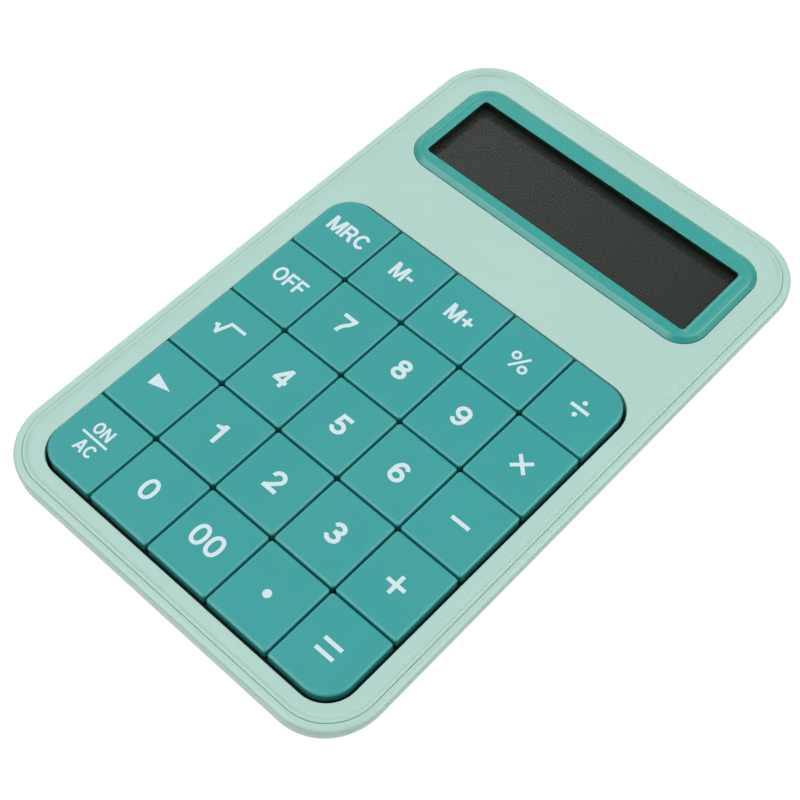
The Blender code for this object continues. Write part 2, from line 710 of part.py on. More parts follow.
def make_display(parts, tools):
    """Lens, liquid crystal glass, its holder and the striped connector to the board."""
    lens_outline = rounded_rectangle(LENS[0], LENS[1], (1.3,) * 4, LENS[2], 3)
    paint(plate("display_lens", [lens_outline], LENS_Z, parts), "lens")
    wide = (-LCD_HALF_X, LCD_HALF_X)
    lcd = box("lcd_panel", wide, LCD_Y, (LCD_Z[1], LCD_Z[2]), parts)
    rear_y = (LCD_Y[0] + LCD_LEDGE, LCD_Y[1] - 0.4)
    rear_x = (wide[0] + 0.4, wide[1] - 0.4)
    rear = box("lcd_rear_glass", rear_x, rear_y, (LCD_Z[0], LCD_Z[1] + 0.2), tools)
    boolean(lcd, rear, "UNION")
    paint(lcd, "lcd")
    half_y, middle_y = span(HOLDER_Y)
    holder_outline = rounded_rectangle(HOLDER_HALF_X, half_y, (1.5,) * 4, middle_y, 3)
    holder = plate("lcd_holder", [holder_outline], (HOLDER_Z[0], HOLDER_Z[2]), parts)
    pocket_x = LCD_HALF_X + GAP
    pocket_y = (LCD_Y[0] - GAP, LCD_Y[1] + GAP)
    pocket = box("lcd_pocket", (-pocket_x, pocket_x), pocket_y, (HOLDER_Z[1], 12.5), tools)
    boolean(holder, pocket, "DIFFERENCE")
    slot_x = ZEBRA_HALF_X + 0.5
    slot_y = (ZEBRA_Y[0] - 0.25, ZEBRA_Y[1] + 0.25)
    slot = box("zebra_slot", (-slot_x, slot_x), slot_y, (8.0, 10.0), tools)
    boolean(holder, slot, "DIFFERENCE")
    paint(holder, "holder_white")
    zebra_z = (BOARD_Z[1] + GAP, LCD_Z[1] - GAP)
    paint(box("zebra_strip", (-ZEBRA_HALF_X, ZEBRA_HALF_X), ZEBRA_Y, zebra_z, parts), "rubber")


# ---------------------------------------------------------------- coin cell, contacts and door

def make_coin_cell(parts):
    """Coin cell with its smaller, negative cap up."""
    low, high = CELL_Z
    profile = (
        (0.0, high), (8.6, high), (8.9, high - 0.5), (CELL_RADIUS - 0.2, high - 0.6),
        (CELL_RADIUS, high - 0.8), (CELL_RADIUS, low + 0.2), (CELL_RADIUS - 0.2, low), (0.0, low),
    )
    return paint(turned("coin_cell", profile, (0.0, CELL_Y), parts), "steel")


def make_battery_door(parts, tools):
    """Round door that is turned with a coin: two lugs hold it above the floor of the case."""
    low = BASE_Z + 0.1
    profile = (
        (0.0, CELL_Z[0] - GAP), (9.0, CELL_Z[0] - GAP), (DOOR_NECK_RADIUS, 3.5),
        (DOOR_NECK_RADIUS, 1.8), (DOOR_RADIUS, 1.8), (DOOR_RADIUS, low + 0.2),
        (DOOR_RADIUS - 0.2, low), (0.0, low),
    )
    door = turned("battery_door", profile, (0.0, 0.0), parts)
    door.location = (0.0, CELL_Y * MM, 0.0)
    half_width = DOOR_LUG_RADIUS * math.sin(math.radians(DOOR_LUG_ANGLE))
    reach = DOOR_LUG_RADIUS * math.cos(math.radians(DOOR_LUG_ANGLE))
    lugs = box("door_lugs", (-reach, reach), (-half_width, half_width), (3.5, 4.1), tools)
    lugs.location = door.location
    boolean(door, lugs, "UNION")
    slot = box("coin_slot", (-7.0, 7.0), (-0.9, 0.9), (0.5, 1.7), tools)
    slot.location = door.location
    boolean(door, slot, "DIFFERENCE")
    return paint(door, "mint")


def make_contacts(parts, tools):
    """Sprung strips that touch the cell's cap and its rim."""
    flat = (8.1, 8.35)
    minus = box("battery_contact_minus", (-2.5, 2.5), (47.3, CELL_Y + 3.0), flat, parts)
    tail = box("minus_tail", (-1.5, 1.5), (47.3, 47.6), (6.0, 8.2), tools)
    boolean(minus, tail, "UNION")
    paint(minus, "steel")
    plus = box("battery_contact_plus", (10.6, 14.6), (CELL_Y - 2.0, CELL_Y + 2.0), flat, parts)
    leg = box("plus_leg", (10.6, 10.9), (CELL_Y - 2.0, CELL_Y + 2.0), (5.2, 8.2), tools)
    boolean(plus, leg, "UNION")
    paint(plus, "steel")


def make_wire(name, points, colour, parts):
    """Insulated lead along a smooth curve through a few points."""
    route = []
    count = len(points)
    for index in range(count - 1):
        before = Vector(points[max(index - 1, 0)])
        start = Vector(points[index])
        end = Vector(points[index + 1])
        after = Vector(points[min(index + 2, count - 1)])
        for step in range(4):
            t = step / 4.0
            bend = 2.0 * start + (end - before) * t
            bend += (2.0 * before - 5.0 * start + 4.0 * end - after) * t * t
            bend += (3.0 * start - before - 3.0 * end + after) * t ** 3
            route.append(0.5 * bend)
    route.append(Vector(points[-1]))
    curve = bpy.data.curves.new(name, "CURVE")
    curve.dimensions = "3D"
    curve.bevel_depth = 0.5 * MM
    curve.bevel_resolution = 1
    curve.use_fill_caps = True
    spline = curve.splines.new("POLY")
    spline.points.add(len(route) - 1)
    for point, place in zip(spline.points, route):
        point.co = (place.x * MM, place.y * MM, place.z * MM, 1.0)
    return paint(new_object(name, curve, parts), colour)


def make_wires(parts):
    """The two leads from the contacts to the board."""
    minus_route = (
        (2.2, 47.3, 6.6), (12.0, 47.4, 6.3), (24.0, 47.5, 6.3), (34.0, 47.2, 6.4),
        (37.4, 45.0, 6.6), (37.6, 41.2, 5.8),
    )
    plus_route = (
        (15.4, CELL_Y, 7.4), (20.0, 58.0, 6.6), (28.0, 51.5, 6.3), (36.0, 49.0, 6.4),
        (40.0, 46.0, 6.6), (40.2, 41.2, 5.8),
    )
    make_wire("battery_wire_minus", minus_route, "black", parts)
    make_wire("battery_wire_plus", plus_route, "red", parts)


# ---------------------------------------------------------------- fasteners and feet

def screw_mesh(head_z, tip_z, tools):
    """Pan head screw that points up, with a cross recess in its head."""
    head_top = head_z + SCREW_HEAD_THICK
    profile = (
        (0.0, tip_z), (0.45, tip_z - 0.1), (SCREW_RADIUS, tip_z - 0.9), (SCREW_RADIUS, head_top),
        (SCREW_HEAD_RADIUS, head_top), (SCREW_HEAD_RADIUS, head_z + 0.3),
        (SCREW_HEAD_RADIUS - 0.4, head_z), (0.0, head_z),
    )
    screw = turned("screw_shape", profile, (0.0, 0.0), tools, 12)
    wide = box("recess_x", (-1.1, 1.1), (-0.22, 0.22), (head_z - 1.0, head_z + 0.5), tools)
    deep = box("recess_y", (-0.22, 0.22), (-1.1, 1.1), (head_z - 1.0, head_z + 0.5), tools)
    boolean(screw, wide, "DIFFERENCE")
    boolean(screw, deep, "DIFFERENCE")
    return bake(screw, (wide, deep))


def place_copies(mesh, names, centres, colour, parts):
    """Put a copy of a mesh at each centre."""
    for name, (x, y) in zip(names, centres):
        item = new_object(name, mesh.copy(), parts)
        item.location = (x * MM, y * MM, 0.0)
        paint(item, colour)


def make_fasteners(parts, tools):
    """Screws through the lower case, and screws that hold the key frame to the upper case."""
    long_names = [f"case_screw_{k}" for k in range(1, 5)]
    head_z = FLOOR_Z - GAP - SCREW_HEAD_THICK
    place_copies(screw_mesh(head_z, 9.5, tools), long_names, board_screw_centres(), "steel", parts)
    top_names = ("case_screw_5", "case_screw_6")
    head_z = TOP_SCREW_SEAT_Z - GAP - SCREW_HEAD_THICK
    place_copies(screw_mesh(head_z, 12.4, tools), top_names, top_screw_centres(), "steel", parts)
    frame_names = [f"frame_screw_{k}" for k in range(1, 4)]
    place_copies(screw_mesh(7.9, 12.7, tools), frame_names, FRAME_SCREWS, "steel", parts)


def make_feet(parts, tools):
    """Four rubber feet in the recesses of the base."""
    profile = (
        (0.0, FOOT_HEIGHT), (FOOT_RADIUS, FOOT_HEIGHT), (FOOT_RADIUS, 0.3),
        (FOOT_RADIUS - 0.3, 0.0), (0.0, 0.0),
    )
    foot = bake(turned("foot_shape", profile, (0.0, 0.0), tools, 16), ())
    names = [f"rubber_foot_{k}" for k in range(1, 5)]
    place_copies(foot, names, foot_centres(), "rubber", parts)


def build():
    """Make every piece of the calculator."""
    clear_scene()
    parts = new_collection("calculator")
    tools = new_collection("cutters")
    make_lower_case(parts, tools)
    make_upper_case(parts, tools)
    make_keys(parts, tools)
    make_key_frame(parts, tools)
    make_rubber_keypad(parts, tools)
    make_circuit_board(parts)
    make_board_parts(parts)
    make_bezel(parts)
    make_display(parts, tools)
    make_coin_cell(parts)
    make_battery_door(parts, tools)
    make_contacts(parts, tools)
    make_wires(parts)
    make_fasteners(parts, tools)
    make_feet(parts, tools)


build()
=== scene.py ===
"""Looks of a desktop calculator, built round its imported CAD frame.

Lengths are in millimetres in this file and become metres where a mesh is made.
The origin is on the surface the calculator lies on, under the middle of its case.
+X runs along a row of keys, +Y towards the display and +Z up.
"""

import math

import bmesh
import bpy
from mathutils import Matrix, Vector


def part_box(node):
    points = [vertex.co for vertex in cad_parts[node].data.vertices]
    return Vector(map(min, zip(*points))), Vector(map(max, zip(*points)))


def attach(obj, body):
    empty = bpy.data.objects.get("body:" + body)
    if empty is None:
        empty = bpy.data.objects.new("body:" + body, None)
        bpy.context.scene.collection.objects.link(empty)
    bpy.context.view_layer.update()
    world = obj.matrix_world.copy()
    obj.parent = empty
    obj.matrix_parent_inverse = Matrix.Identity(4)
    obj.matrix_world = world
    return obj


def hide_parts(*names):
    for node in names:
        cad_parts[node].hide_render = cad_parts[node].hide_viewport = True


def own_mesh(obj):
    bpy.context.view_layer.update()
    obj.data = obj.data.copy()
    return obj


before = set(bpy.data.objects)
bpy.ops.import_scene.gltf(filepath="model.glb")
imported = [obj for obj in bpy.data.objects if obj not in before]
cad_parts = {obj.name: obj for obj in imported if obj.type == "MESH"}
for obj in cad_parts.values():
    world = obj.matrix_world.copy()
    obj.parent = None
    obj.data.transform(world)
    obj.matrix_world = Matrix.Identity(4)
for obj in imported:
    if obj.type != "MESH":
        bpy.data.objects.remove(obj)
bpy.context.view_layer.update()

MM = 0.001
CASE_BODY = "case"
DOOR_BODY = "battery_door"

CAMERA_PLACE = (137.046, -156.516, 321.106)
CAMERA_TURN = (32.4777, -1.3745, 42.2401)
CAMERA_LENS = 73.1004
CAMERA_SHIFT = (-0.0424, 0.0023)

# Light. A glow has a strength, a direction, and the two cosines of the angle to it between which it grows.
SURROUND = 0.28
GLOWS = (
    (4.7, (0.36, 0.45, 0.82), 0.88, 0.96),
    (4.7, (-0.37, -0.36, 0.86), 0.88, 0.96),
    (1.2, (-0.75, 0.45, 0.50), 0.74, 1.0),
)
FLOOR_COLOUR = 0.15
FLOOR_GLOW = 0.93
FLOOR_HALF = 2500.0

# Case
CASE_CORNER = 14.5
BASE_Z = 1.0
FLOOR_Z = 2.6
SIDE_WALL_Z = 12.2
END_WALL_Z = 10.2
UNDER_INSET = 9.0
UNDER_SLOPE = 0.45
UNDER_BEND = 0.08
LEDGE_Z = 10.9
LEDGE_INSET = 3.1
WALL_INSET = 1.75
WALL_SKIN = 0.8
RIM_INNER = 1.94
PANEL_EDGE = 2.02
TONGUE_EDGE = 1.95
PANEL_Z = 13.5
PANEL_UNDER_Z = 11.9
CORNER_STEPS = 16
SHARP_ANGLE = 32.0

# Screws and bores
CASE_SCREWS_UNDER_KEYS = (1, 2, 3, 4)
CASE_SCREWS_BY_DISPLAY = (5, 6)
FRAME_SCREWS = (1, 2, 3)
FEET = (1, 2, 3, 4)
SCREW_BORE = (1.3, 2.3)
PILOT_RADIUS = 1.3
FOOT_RADIUS = 4.8
BELOW_Z = -0.5
THROUGH_Z = (9.0, 15.0)

# Keys
KEY_TOP_Z = 14.47
KEY_BOTTOM_Z = 11.9
KEY_ROUND = (0.8, 0.42)
KEY_CORNER = 7.0
KEY_SMALL_CORNER = 0.7
KEY_WALL = 1.2
KEY_ROOF_Z = 13.3
STEM_HALF = 3.5
STEM_BOTTOM_Z = 8.6
INK_Z = (14.42, 14.495)
SHEET_TOP_Z = 6.2
WELL_SPACE = (0.72, 0.93)
WELL_SHIFT = (0.28, -0.14)
WELL_RIB_Z = 10.5

KEY_ROWS = (
    ("key_mrc", "key_m_minus", "key_m_plus", "key_percent", "key_divide"),
    ("key_off", "key_7", "key_8", "key_9", "key_multiply"),
    ("key_square_root", "key_4", "key_5", "key_6", "key_subtract"),
    ("key_backspace", "key_1", "key_2", "key_3", "key_add"),
    ("key_on_clear", "key_0", "key_double_zero", "key_decimal_point", "key_equals"),
)
WIDE_CORNERS = {"key_equals": 0, "key_divide": 1, "key_mrc": 2, "key_on_clear": 3}


# ---------------------------------------------------------------- frame measures

def limits(node):
    """Lowest and highest corner of a CAD node, in millimetres."""
    low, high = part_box(node)
    return low / MM, high / MM


def middle(node):
    """Middle of a CAD node, seen from above."""
    low, high = limits(node)
    return 0.5 * (low.x + high.x), 0.5 * (low.y + high.y)


CASE_LOW, CASE_HIGH = limits("lower_case")
CASE_HALF = (CASE_HIGH.x, CASE_HIGH.y)
KEY_LOW, KEY_HIGH = limits("key_5")
KEY_HALF = (0.5 * (KEY_HIGH.x - KEY_LOW.x), 0.5 * (KEY_HIGH.y - KEY_LOW.y))
BLOCK_MIDDLE = middle("key_5")
BLOCK_HALF = (limits("key_equals")[1].x, 0.5 * (limits("key_mrc")[1].y - limits("key_equals")[0].y))


# ---------------------------------------------------------------- outlines and meshes

def rounded(half, radii, centre=(0.0, 0.0), steps=CORNER_STEPS):
    """Rectangle with its own radius at each corner, from the lower right one anticlockwise."""
    corners = ((1, -1, -90.0), (1, 1, 0.0), (-1, 1, 90.0), (-1, -1, 180.0))
    points = []
    for (side_x, side_y, start), radius in zip(corners, radii):
        middle_x = side_x * (half[0] - radius) + centre[0]
        middle_y = side_y * (half[1] - radius) + centre[1]
        for step in range(steps + 1):
            angle = math.radians(start + 90.0 * step / steps)
            points.append((middle_x + radius * math.cos(angle), middle_y + radius * math.sin(angle)))
    return points


def at_height(outline, z):
    """An outline as a loop at one height."""
    return [Vector((x, y, z)) for x, y in outline]


def curved(points, steps=3):
    """A smooth row of points through the given ones."""
    points = [Vector(point) for point in points]
    count = len(points)
    row = []
    for index in range(count - 1):
        before = points[max(index - 1, 0)]
        start = points[index]
        end = points[index + 1]
        after = points[min(index + 2, count - 1)]
        for step in range(steps):
            t = step / steps
            bend = 2.0 * start + (end - before) * t
            bend += (2.0 * before - 5.0 * start + 4.0 * end - after) * t * t
            bend += (3.0 * start - before - 3.0 * end + after) * t ** 3
            row.append(0.5 * bend)
    row.append(points[-1])
    return row


def skin(loops, closed=False):
    """Surface through loops of the same number of points. It is capped unless the row of loops is closed."""
    bm = bmesh.new()
    rings = [[bm.verts.new(point) for point in loop] for loop in loops]
    count = len(rings[0])
    pairs = list(zip(rings, rings[1:]))
    if closed:
        pairs.append((rings[-1], rings[0]))
    for ring, following in pairs:
        for k in range(count):
            after = (k + 1) % count
            bm.faces.new((ring[k], ring[after], following[after], following[k]))
    if not closed:
        bm.faces.new(rings[0])
        bm.faces.new(rings[-1])
    return bm


def turned(profile, centre=(0.0, 0.0), steps=48, closed=False):
    """Surface turned from a profile of (radius, height) points. A closed profile makes a ring."""
    bm = bmesh.new()
    rings = []
    for radius, z in profile:
        if radius < 1e-6:
            rings.append([bm.verts.new((centre[0], centre[1], z))] * steps)
            continue
        ring = []
        for k in range(steps):
            angle = 2.0 * math.pi * k / steps
            place = (centre[0] + radius * math.cos(angle), centre[1] + radius * math.sin(angle), z)
            ring.append(bm.verts.new(place))
        rings.append(ring)
    pairs = list(zip(rings, rings[1:]))
    if closed:
        pairs.append((rings[-1], rings[0]))
    for ring, following in pairs:
        for k in range(steps):
            after = (k + 1) % steps
            corners = [ring[k], ring[after], following[after], following[k]]
            corners = [v for i, v in enumerate(corners) if v not in corners[:i]]
            if len(corners) > 2:
                bm.faces.new(corners)
    return bm


def block(low, high):
    """A box between two corners."""
    bm = bmesh.new()
    bmesh.ops.create_cube(bm, size=1.0)
    for vert in bm.verts:
        for axis in range(3):
            vert.co[axis] = high[axis] if vert.co[axis] > 0.0 else low[axis]
    return bm


def slab(outline, z_range, edge=0.0):
    """A flat plate with one outline, with its edges cut back a little."""
    low, high = z_range
    if edge <= 0.0:
        return skin([at_height(outline, low), at_height(outline, high)])
    inner = shrunk(outline, edge)
    return skin([
        at_height(inner, low), at_height(outline, low + edge),
        at_height(outline, high - edge), at_height(inner, high),
    ])


def shrunk(outline, amount):
    """An outline drawn in by a small amount, along its corners' normals."""
    count = len(outline)
    moved = []
    for k, (x, y) in enumerate(outline):
        before = Vector(outline[k - 1])
        after = Vector(outline[(k + 1) % count])
        here = Vector((x, y))
        one = (here - before).normalized()
        two = (after - here).normalized()
        inward = Vector((-one.y - two.y, one.x + two.x))
        size = max(inward.length, 0.2)
        moved.append(tuple(here + inward / size * (2.0 * amount / size)))
    return moved


def make_object(name, bm):
    """An object from mesh data in millimetres."""
    bmesh.ops.recalc_face_normals(bm, faces=bm.faces)
    mesh = bpy.data.meshes.new(name)
    bm.to_mesh(mesh)
    bm.free()
    mesh.transform(Matrix.Scale(MM, 4))
    item = bpy.data.objects.new(name, mesh)
    bpy.context.scene.collection.objects.link(item)
    return item


def combine(item, tools, operation):
    """Apply one Boolean with each tool in turn, then remove the tools."""
    tools = [make_object(f"tool_{k}", bm) for k, bm in enumerate(tools)]
    for tool in tools:
        modifier = item.modifiers.new("boolean", "BOOLEAN")
        modifier.operation = operation
        modifier.solver = "EXACT"
        modifier.object = tool
    bpy.context.view_layer.update()
    graph = bpy.context.evaluated_depsgraph_get()
    mesh = bpy.data.meshes.new_from_object(item.evaluated_get(graph))
    item.modifiers.clear()
    old = item.data
    item.data = mesh
    bpy.data.meshes.remove(old)
    for tool in tools:
        bpy.data.objects.remove(tool, do_unlink=True)
    return item


def trimmed(bm, envelope):
    """What of one shape lies inside another."""
    item = combine(make_object("trimmed", bm), [envelope], "INTERSECT")
    inside = bmesh.new()
    inside.from_mesh(item.data)
    bmesh.ops.scale(inside, vec=(1.0 / MM,) * 3, verts=inside.verts)
    bpy.data.objects.remove(item, do_unlink=True)
    return inside


def gathered(pieces):
    """Several meshes that don't touch, as one."""
    whole = bmesh.new()
    for bm in pieces:
        mesh = bpy.data.meshes.new("part")
        bmesh.ops.recalc_face_normals(bm, faces=bm.faces)
        bm.to_mesh(mesh)
        bm.free()
        whole.from_mesh(mesh)
        bpy.data.meshes.remove(mesh)
    return whole


def finish_piece(item, material, body, replaces=()):
    """Shade a piece, give it its material and tie it to its CAD body."""
    mesh = item.data
    mesh.name = item.name
    mesh.shade_smooth()
    mesh.set_sharp_from_angle(angle=math.radians(SHARP_ANGLE))
    mesh.materials.clear()
    mesh.materials.append(material)
    weighting = item.modifiers.new("weighted_normals", "WEIGHTED_NORMAL")
    weighting.keep_sharp = True
    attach(item, body)
    if replaces:
        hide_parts(*replaces)
    return item


# ---------------------------------------------------------------- materials

class Graph:
    """Short names for building a material's nodes."""

    def __init__(self, name):
        self.material = bpy.data.materials.new(name)
        self.material.use_nodes = True
        self.tree = self.material.node_tree
        self.tree.nodes.clear()
        self.shader = self.add("ShaderNodeBsdfPrincipled")
        output = self.add("ShaderNodeOutputMaterial")
        self.tree.links.new(self.shader.outputs["BSDF"], output.inputs["Surface"])
        self.place = self.add("ShaderNodeTexCoord").outputs["Object"]

    def add(self, kind):
        return self.tree.nodes.new(kind)

    def link(self, value, socket):
        self.tree.links.new(value, self.shader.inputs[socket] if isinstance(socket, str) else socket)

    def noise(self, size, detail=3.0, roughness=0.55, stretch=(1.0, 1.0, 1.0)):
        """Noise with features of about the given size in millimetres."""
        mapping = self.add("ShaderNodeMapping")
        mapping.inputs["Scale"].default_value = stretch
        self.link(self.place, mapping.inputs["Vector"])
        node = self.add("ShaderNodeTexNoise")
        node.inputs["Scale"].default_value = 1.0 / (size * MM)
        node.inputs["Detail"].default_value = detail
        node.inputs["Roughness"].default_value = roughness
        self.link(mapping.outputs["Vector"], node.inputs["Vector"])
        return node.outputs["Fac"]

    def cells(self, size):
        """Distance to the nearest of many scattered points."""
        node = self.add("ShaderNodeTexVoronoi")
        node.inputs["Scale"].default_value = 1.0 / (size * MM)
        self.link(self.place, node.inputs["Vector"])
        return node.outputs["Distance"]

    def spread(self, value, from_range, to_range):
        """Map a range of values to another and clamp it."""
        node = self.add("ShaderNodeMapRange")
        for name, number in zip(("From Min", "From Max", "To Min", "To Max"), from_range + to_range):
            node.inputs[name].default_value = number
        self.link(value, node.inputs["Value"])
        return node.outputs["Result"]

    def blend(self, factor, one, two):
        """Mix two colours, or a colour's output and a colour."""
        node = self.add("ShaderNodeMix")
        node.data_type = "RGBA"
        self.link(factor, node.inputs["Factor"])
        for value, socket in ((one, node.inputs[6]), (two, node.inputs[7])):
            if isinstance(value, tuple):
                socket.default_value = (*value, 1.0)
            else:
                self.link(value, socket)
        return node.outputs[2]

    def sum(self, one, two, operation="ADD"):
        node = self.add("ShaderNodeMath")
        node.operation = operation
        for value, socket in zip((one, two), node.inputs):
            if isinstance(value, float):
                socket.default_value = value
            else:
                self.link(value, socket)
        return node.outputs["Value"]

    def bump(self, height, depth):
        """Raise the surface by up to a depth in millimetres."""
        node = self.add("ShaderNodeBump")
        node.inputs["Strength"].default_value = 1.0
        node.inputs["Distance"].default_value = depth * MM
        self.link(height, node.inputs["Height"])
        self.link(node.outputs["Normal"], "Normal")


def scaled(colour, amount):
    return tuple(min(1.0, channel * amount) for channel in colour)


def plastic(name, colour, roughness, grain=0.22, depth=0.012, wear=1.06, specular=0.5, dust=0.02):
    """Moulded plastic: fine grain, faint mottling, and a few polished and dusty patches."""
    g = Graph(name)
    mottle = g.spread(g.noise(26.0, 4.0), (0.3, 0.7), (0.0, 1.0))
    base = g.blend(mottle, scaled(colour, 0.985), scaled(colour, 1.015))
    specks = g.spread(g.noise(0.55, 2.0), (0.62, 0.75), (0.0, 1.0))
    base = g.blend(g.sum(specks, 0.35, "MULTIPLY"), base, scaled(colour, wear))
    film = g.spread(g.noise(60.0, 5.0, 0.65), (0.5, 0.8), (0.0, dust))
    base = g.blend(film, base, (0.62, 0.60, 0.56))
    g.link(base, "Base Color")
    patches = g.spread(g.noise(9.0, 5.0, 0.6), (0.3, 0.7), (roughness - 0.035, roughness + 0.035))
    fine = g.spread(g.noise(0.3, 2.0), (0.3, 0.7), (-0.02, 0.02))
    g.link(g.sum(patches, fine), "Roughness")
    g.bump(g.noise(grain, 3.0, 0.6), depth)
    g.shader.inputs["Specular IOR Level"].default_value = specular
    return g.material


def ink(name, colour):
    """Printed ink: nearly even, with faint thin spots and a slightly rough film."""
    g = Graph(name)
    thin = g.spread(g.noise(0.35, 3.0), (0.35, 0.75), (0.0, 1.0))
    g.link(g.blend(thin, colour, scaled(colour, 0.955)), "Base Color")
    g.link(g.spread(g.noise(0.2, 2.0), (0.3, 0.7), (0.42, 0.52)), "Roughness")
    g.bump(g.noise(0.15, 2.0), 0.004)
    return g.material


def rubber(name, colour, roughness=0.8):
    """Matt rubber with a fine pitted surface."""
    g = Graph(name)
    chalk = g.spread(g.noise(2.5, 5.0, 0.7), (0.35, 0.8), (0.0, 1.0))
    g.link(g.blend(chalk, colour, scaled(colour, 1.5)), "Base Color")
    g.link(g.spread(g.noise(0.8, 3.0), (0.3, 0.7), (roughness - 0.07, roughness + 0.05)), "Roughness")
    g.bump(g.cells(0.28), 0.03)
    return g.material


def metal(name, colour, roughness, stretch):
    """Plated steel with drawn marks along one direction and a few dull spots."""
    g = Graph(name)
    dull = g.spread(g.noise(3.0, 5.0, 0.65), (0.45, 0.75), (0.0, 1.0))
    g.link(g.blend(dull, colour, scaled(colour, 0.82)), "Base Color")
    lines = g.noise(0.25, 2.0, 0.5, stretch)
    g.link(g.spread(lines, (0.3, 0.7), (roughness - 0.06, roughness + 0.08)), "Roughness")
    g.bump(lines, 0.004)
    g.shader.inputs["Metallic"].default_value = 1.0
    return g.material


def glass_sheet(name):
    """Clear hard-coated sheet with the faintest haze and wipe marks."""
    g = Graph(name)
    wipes = g.noise(9.0, 3.0, 0.6, (1.0, 5.0, 1.0))
    g.link(g.spread(wipes, (0.3, 0.75), (0.015, 0.03)), "Roughness")
    tint = g.spread(g.noise(30.0, 3.0), (0.3, 0.7), (0.0, 1.0))
    g.link(g.blend(tint, (0.010, 0.014, 0.012), (0.014, 0.018, 0.016)), "Base Color")
    g.shader.inputs["Alpha"].default_value = 0.12
    return g.material


def polariser(name):
    """Dark liquid crystal panel: a green-black film under gloss, with faint clouding."""
    g = Graph(name)
    cloud = g.spread(g.noise(18.0, 3.0), (0.3, 0.7), (0.0, 1.0))
    g.link(g.blend(cloud, (0.0245, 0.0300, 0.0235), (0.0265, 0.0320, 0.0255)), "Base Color")
    g.link(g.spread(g.noise(6.0, 3.0), (0.3, 0.7), (0.04, 0.06)), "Roughness")
    g.shader.inputs["Specular IOR Level"].default_value = 0.45
    return g.material


def solder_mask(name):
    """Green board with copper tracks that show through the lacquer."""
    g = Graph(name)
    tracks = g.add("ShaderNodeTexBrick")
    tracks.inputs["Scale"].default_value = 1.0 / (2.4 * MM)
    tracks.inputs["Mortar Size"].default_value = 0.09
    tracks.inputs["Color1"].default_value = (0.0, 0.0, 0.0, 1.0)
    tracks.inputs["Color2"].default_value = (0.05, 0.05, 0.05, 1.0)
    tracks.inputs["Mortar"].default_value = (1.0, 1.0, 1.0, 1.0)
    g.link(g.place, tracks.inputs["Vector"])
    lines = tracks.outputs["Color"]
    g.link(g.blend(lines, (0.022, 0.135, 0.055), (0.055, 0.24, 0.085)), "Base Color")
    g.link(g.spread(g.noise(1.5, 3.0), (0.3, 0.7), (0.3, 0.42)), "Roughness")
    g.bump(lines, 0.03)
    return g.material


MINT = (0.335, 0.505, 0.455)
TEAL = (0.019, 0.262, 0.254)
BEZEL_TEAL = (0.018, 0.270, 0.238)

MATERIALS = {
    "case_mint": plastic("case_mint", MINT, 0.36),
    "key_teal": plastic("key_teal", TEAL, 0.34, 0.3, 0.008, 1.10),
    "bezel_teal": plastic("bezel_teal", BEZEL_TEAL, 0.28, 0.4, 0.005, 1.10),
    "legend_ink": ink("legend_ink", (0.50, 0.615, 0.655)),
    "inner_white": plastic("inner_white", (0.72, 0.73, 0.71), 0.5),
    # Painted shade: near-black green that stands in for the deep shade in the key gaps and the display recess.
    "inner_black": plastic("inner_black", (0.003, 0.018, 0.014), 0.55, dust=0.0, specular=0.25),
    "silicone_grey": rubber("silicone_grey", (0.62, 0.63, 0.62), 0.7),
    "board_green": solder_mask("board_green"),
    "epoxy_black": plastic("epoxy_black", (0.010, 0.010, 0.010), 0.25, 1.2, 0.05),
    "rubber_black": rubber("rubber_black", (0.020, 0.020, 0.020)),
    "steel": metal("steel", (0.56, 0.56, 0.55), 0.3, (1.0, 1.0, 12.0)),
    "wire_black": plastic("wire_black", (0.015, 0.015, 0.015), 0.4),
    "wire_red": plastic("wire_red", (0.45, 0.02, 0.02), 0.4),
    "lens_clear": glass_sheet("lens_clear"),
    "lcd_dark": polariser("lcd_dark"),
}


# ---------------------------------------------------------------- case

def case_loop(inset_x, inset_y, z):
    """The case's outline drawn in, at one height."""
    radius = max(CASE_CORNER - 0.5 * (inset_x + inset_y), 1.5)
    half = (CASE_HALF[0] - inset_x, CASE_HALF[1] - inset_y)
    return at_height(rounded(half, (radius,) * 4), z)


def under_curve(z, wall_z, bottom_z):
    """Inset of the wall, which bends in below its upright part and then rounds into the flat base."""
    drop = (wall_z - z) / (wall_z - bottom_z)
    if drop <= 0.0:
        return 0.0
    slope = 0.5 * drop * drop / UNDER_BEND if drop < UNDER_BEND else drop - 0.5 * UNDER_BEND
    rounding = 1.0 - math.sqrt(max(0.0, 1.0 - drop * drop))
    return UNDER_INSET * (UNDER_SLOPE * slope + (1.0 - UNDER_SLOPE) * rounding)


def quarter_loops(angles, bottom_z, wall_inset, least_inset):
    """Loops down or up the rounded underside, by angle from the wall."""
    loops = []
    for angle in angles:
        z = END_WALL_Z - (END_WALL_Z - bottom_z) * math.sin(math.radians(angle))
        side = under_curve(z, SIDE_WALL_Z, bottom_z) + wall_inset
        end = under_curve(z, END_WALL_Z, bottom_z) + wall_inset
        loops.append(case_loop(max(side, least_inset), max(end, least_inset), z))
    return loops


def bore(radii, seat_z, top_z, centre):
    """Stepped cutter that enters the base from below, with a small bevel at the mouth."""
    hole, head = radii
    return turned((
        (0.0, top_z), (hole, top_z), (hole, seat_z), (head, seat_z), (head, BASE_Z + 0.15),
        (head + 0.35, BASE_Z - 0.2), (head + 0.35, BELOW_Z), (0.0, BELOW_Z),
    ), centre, 40)


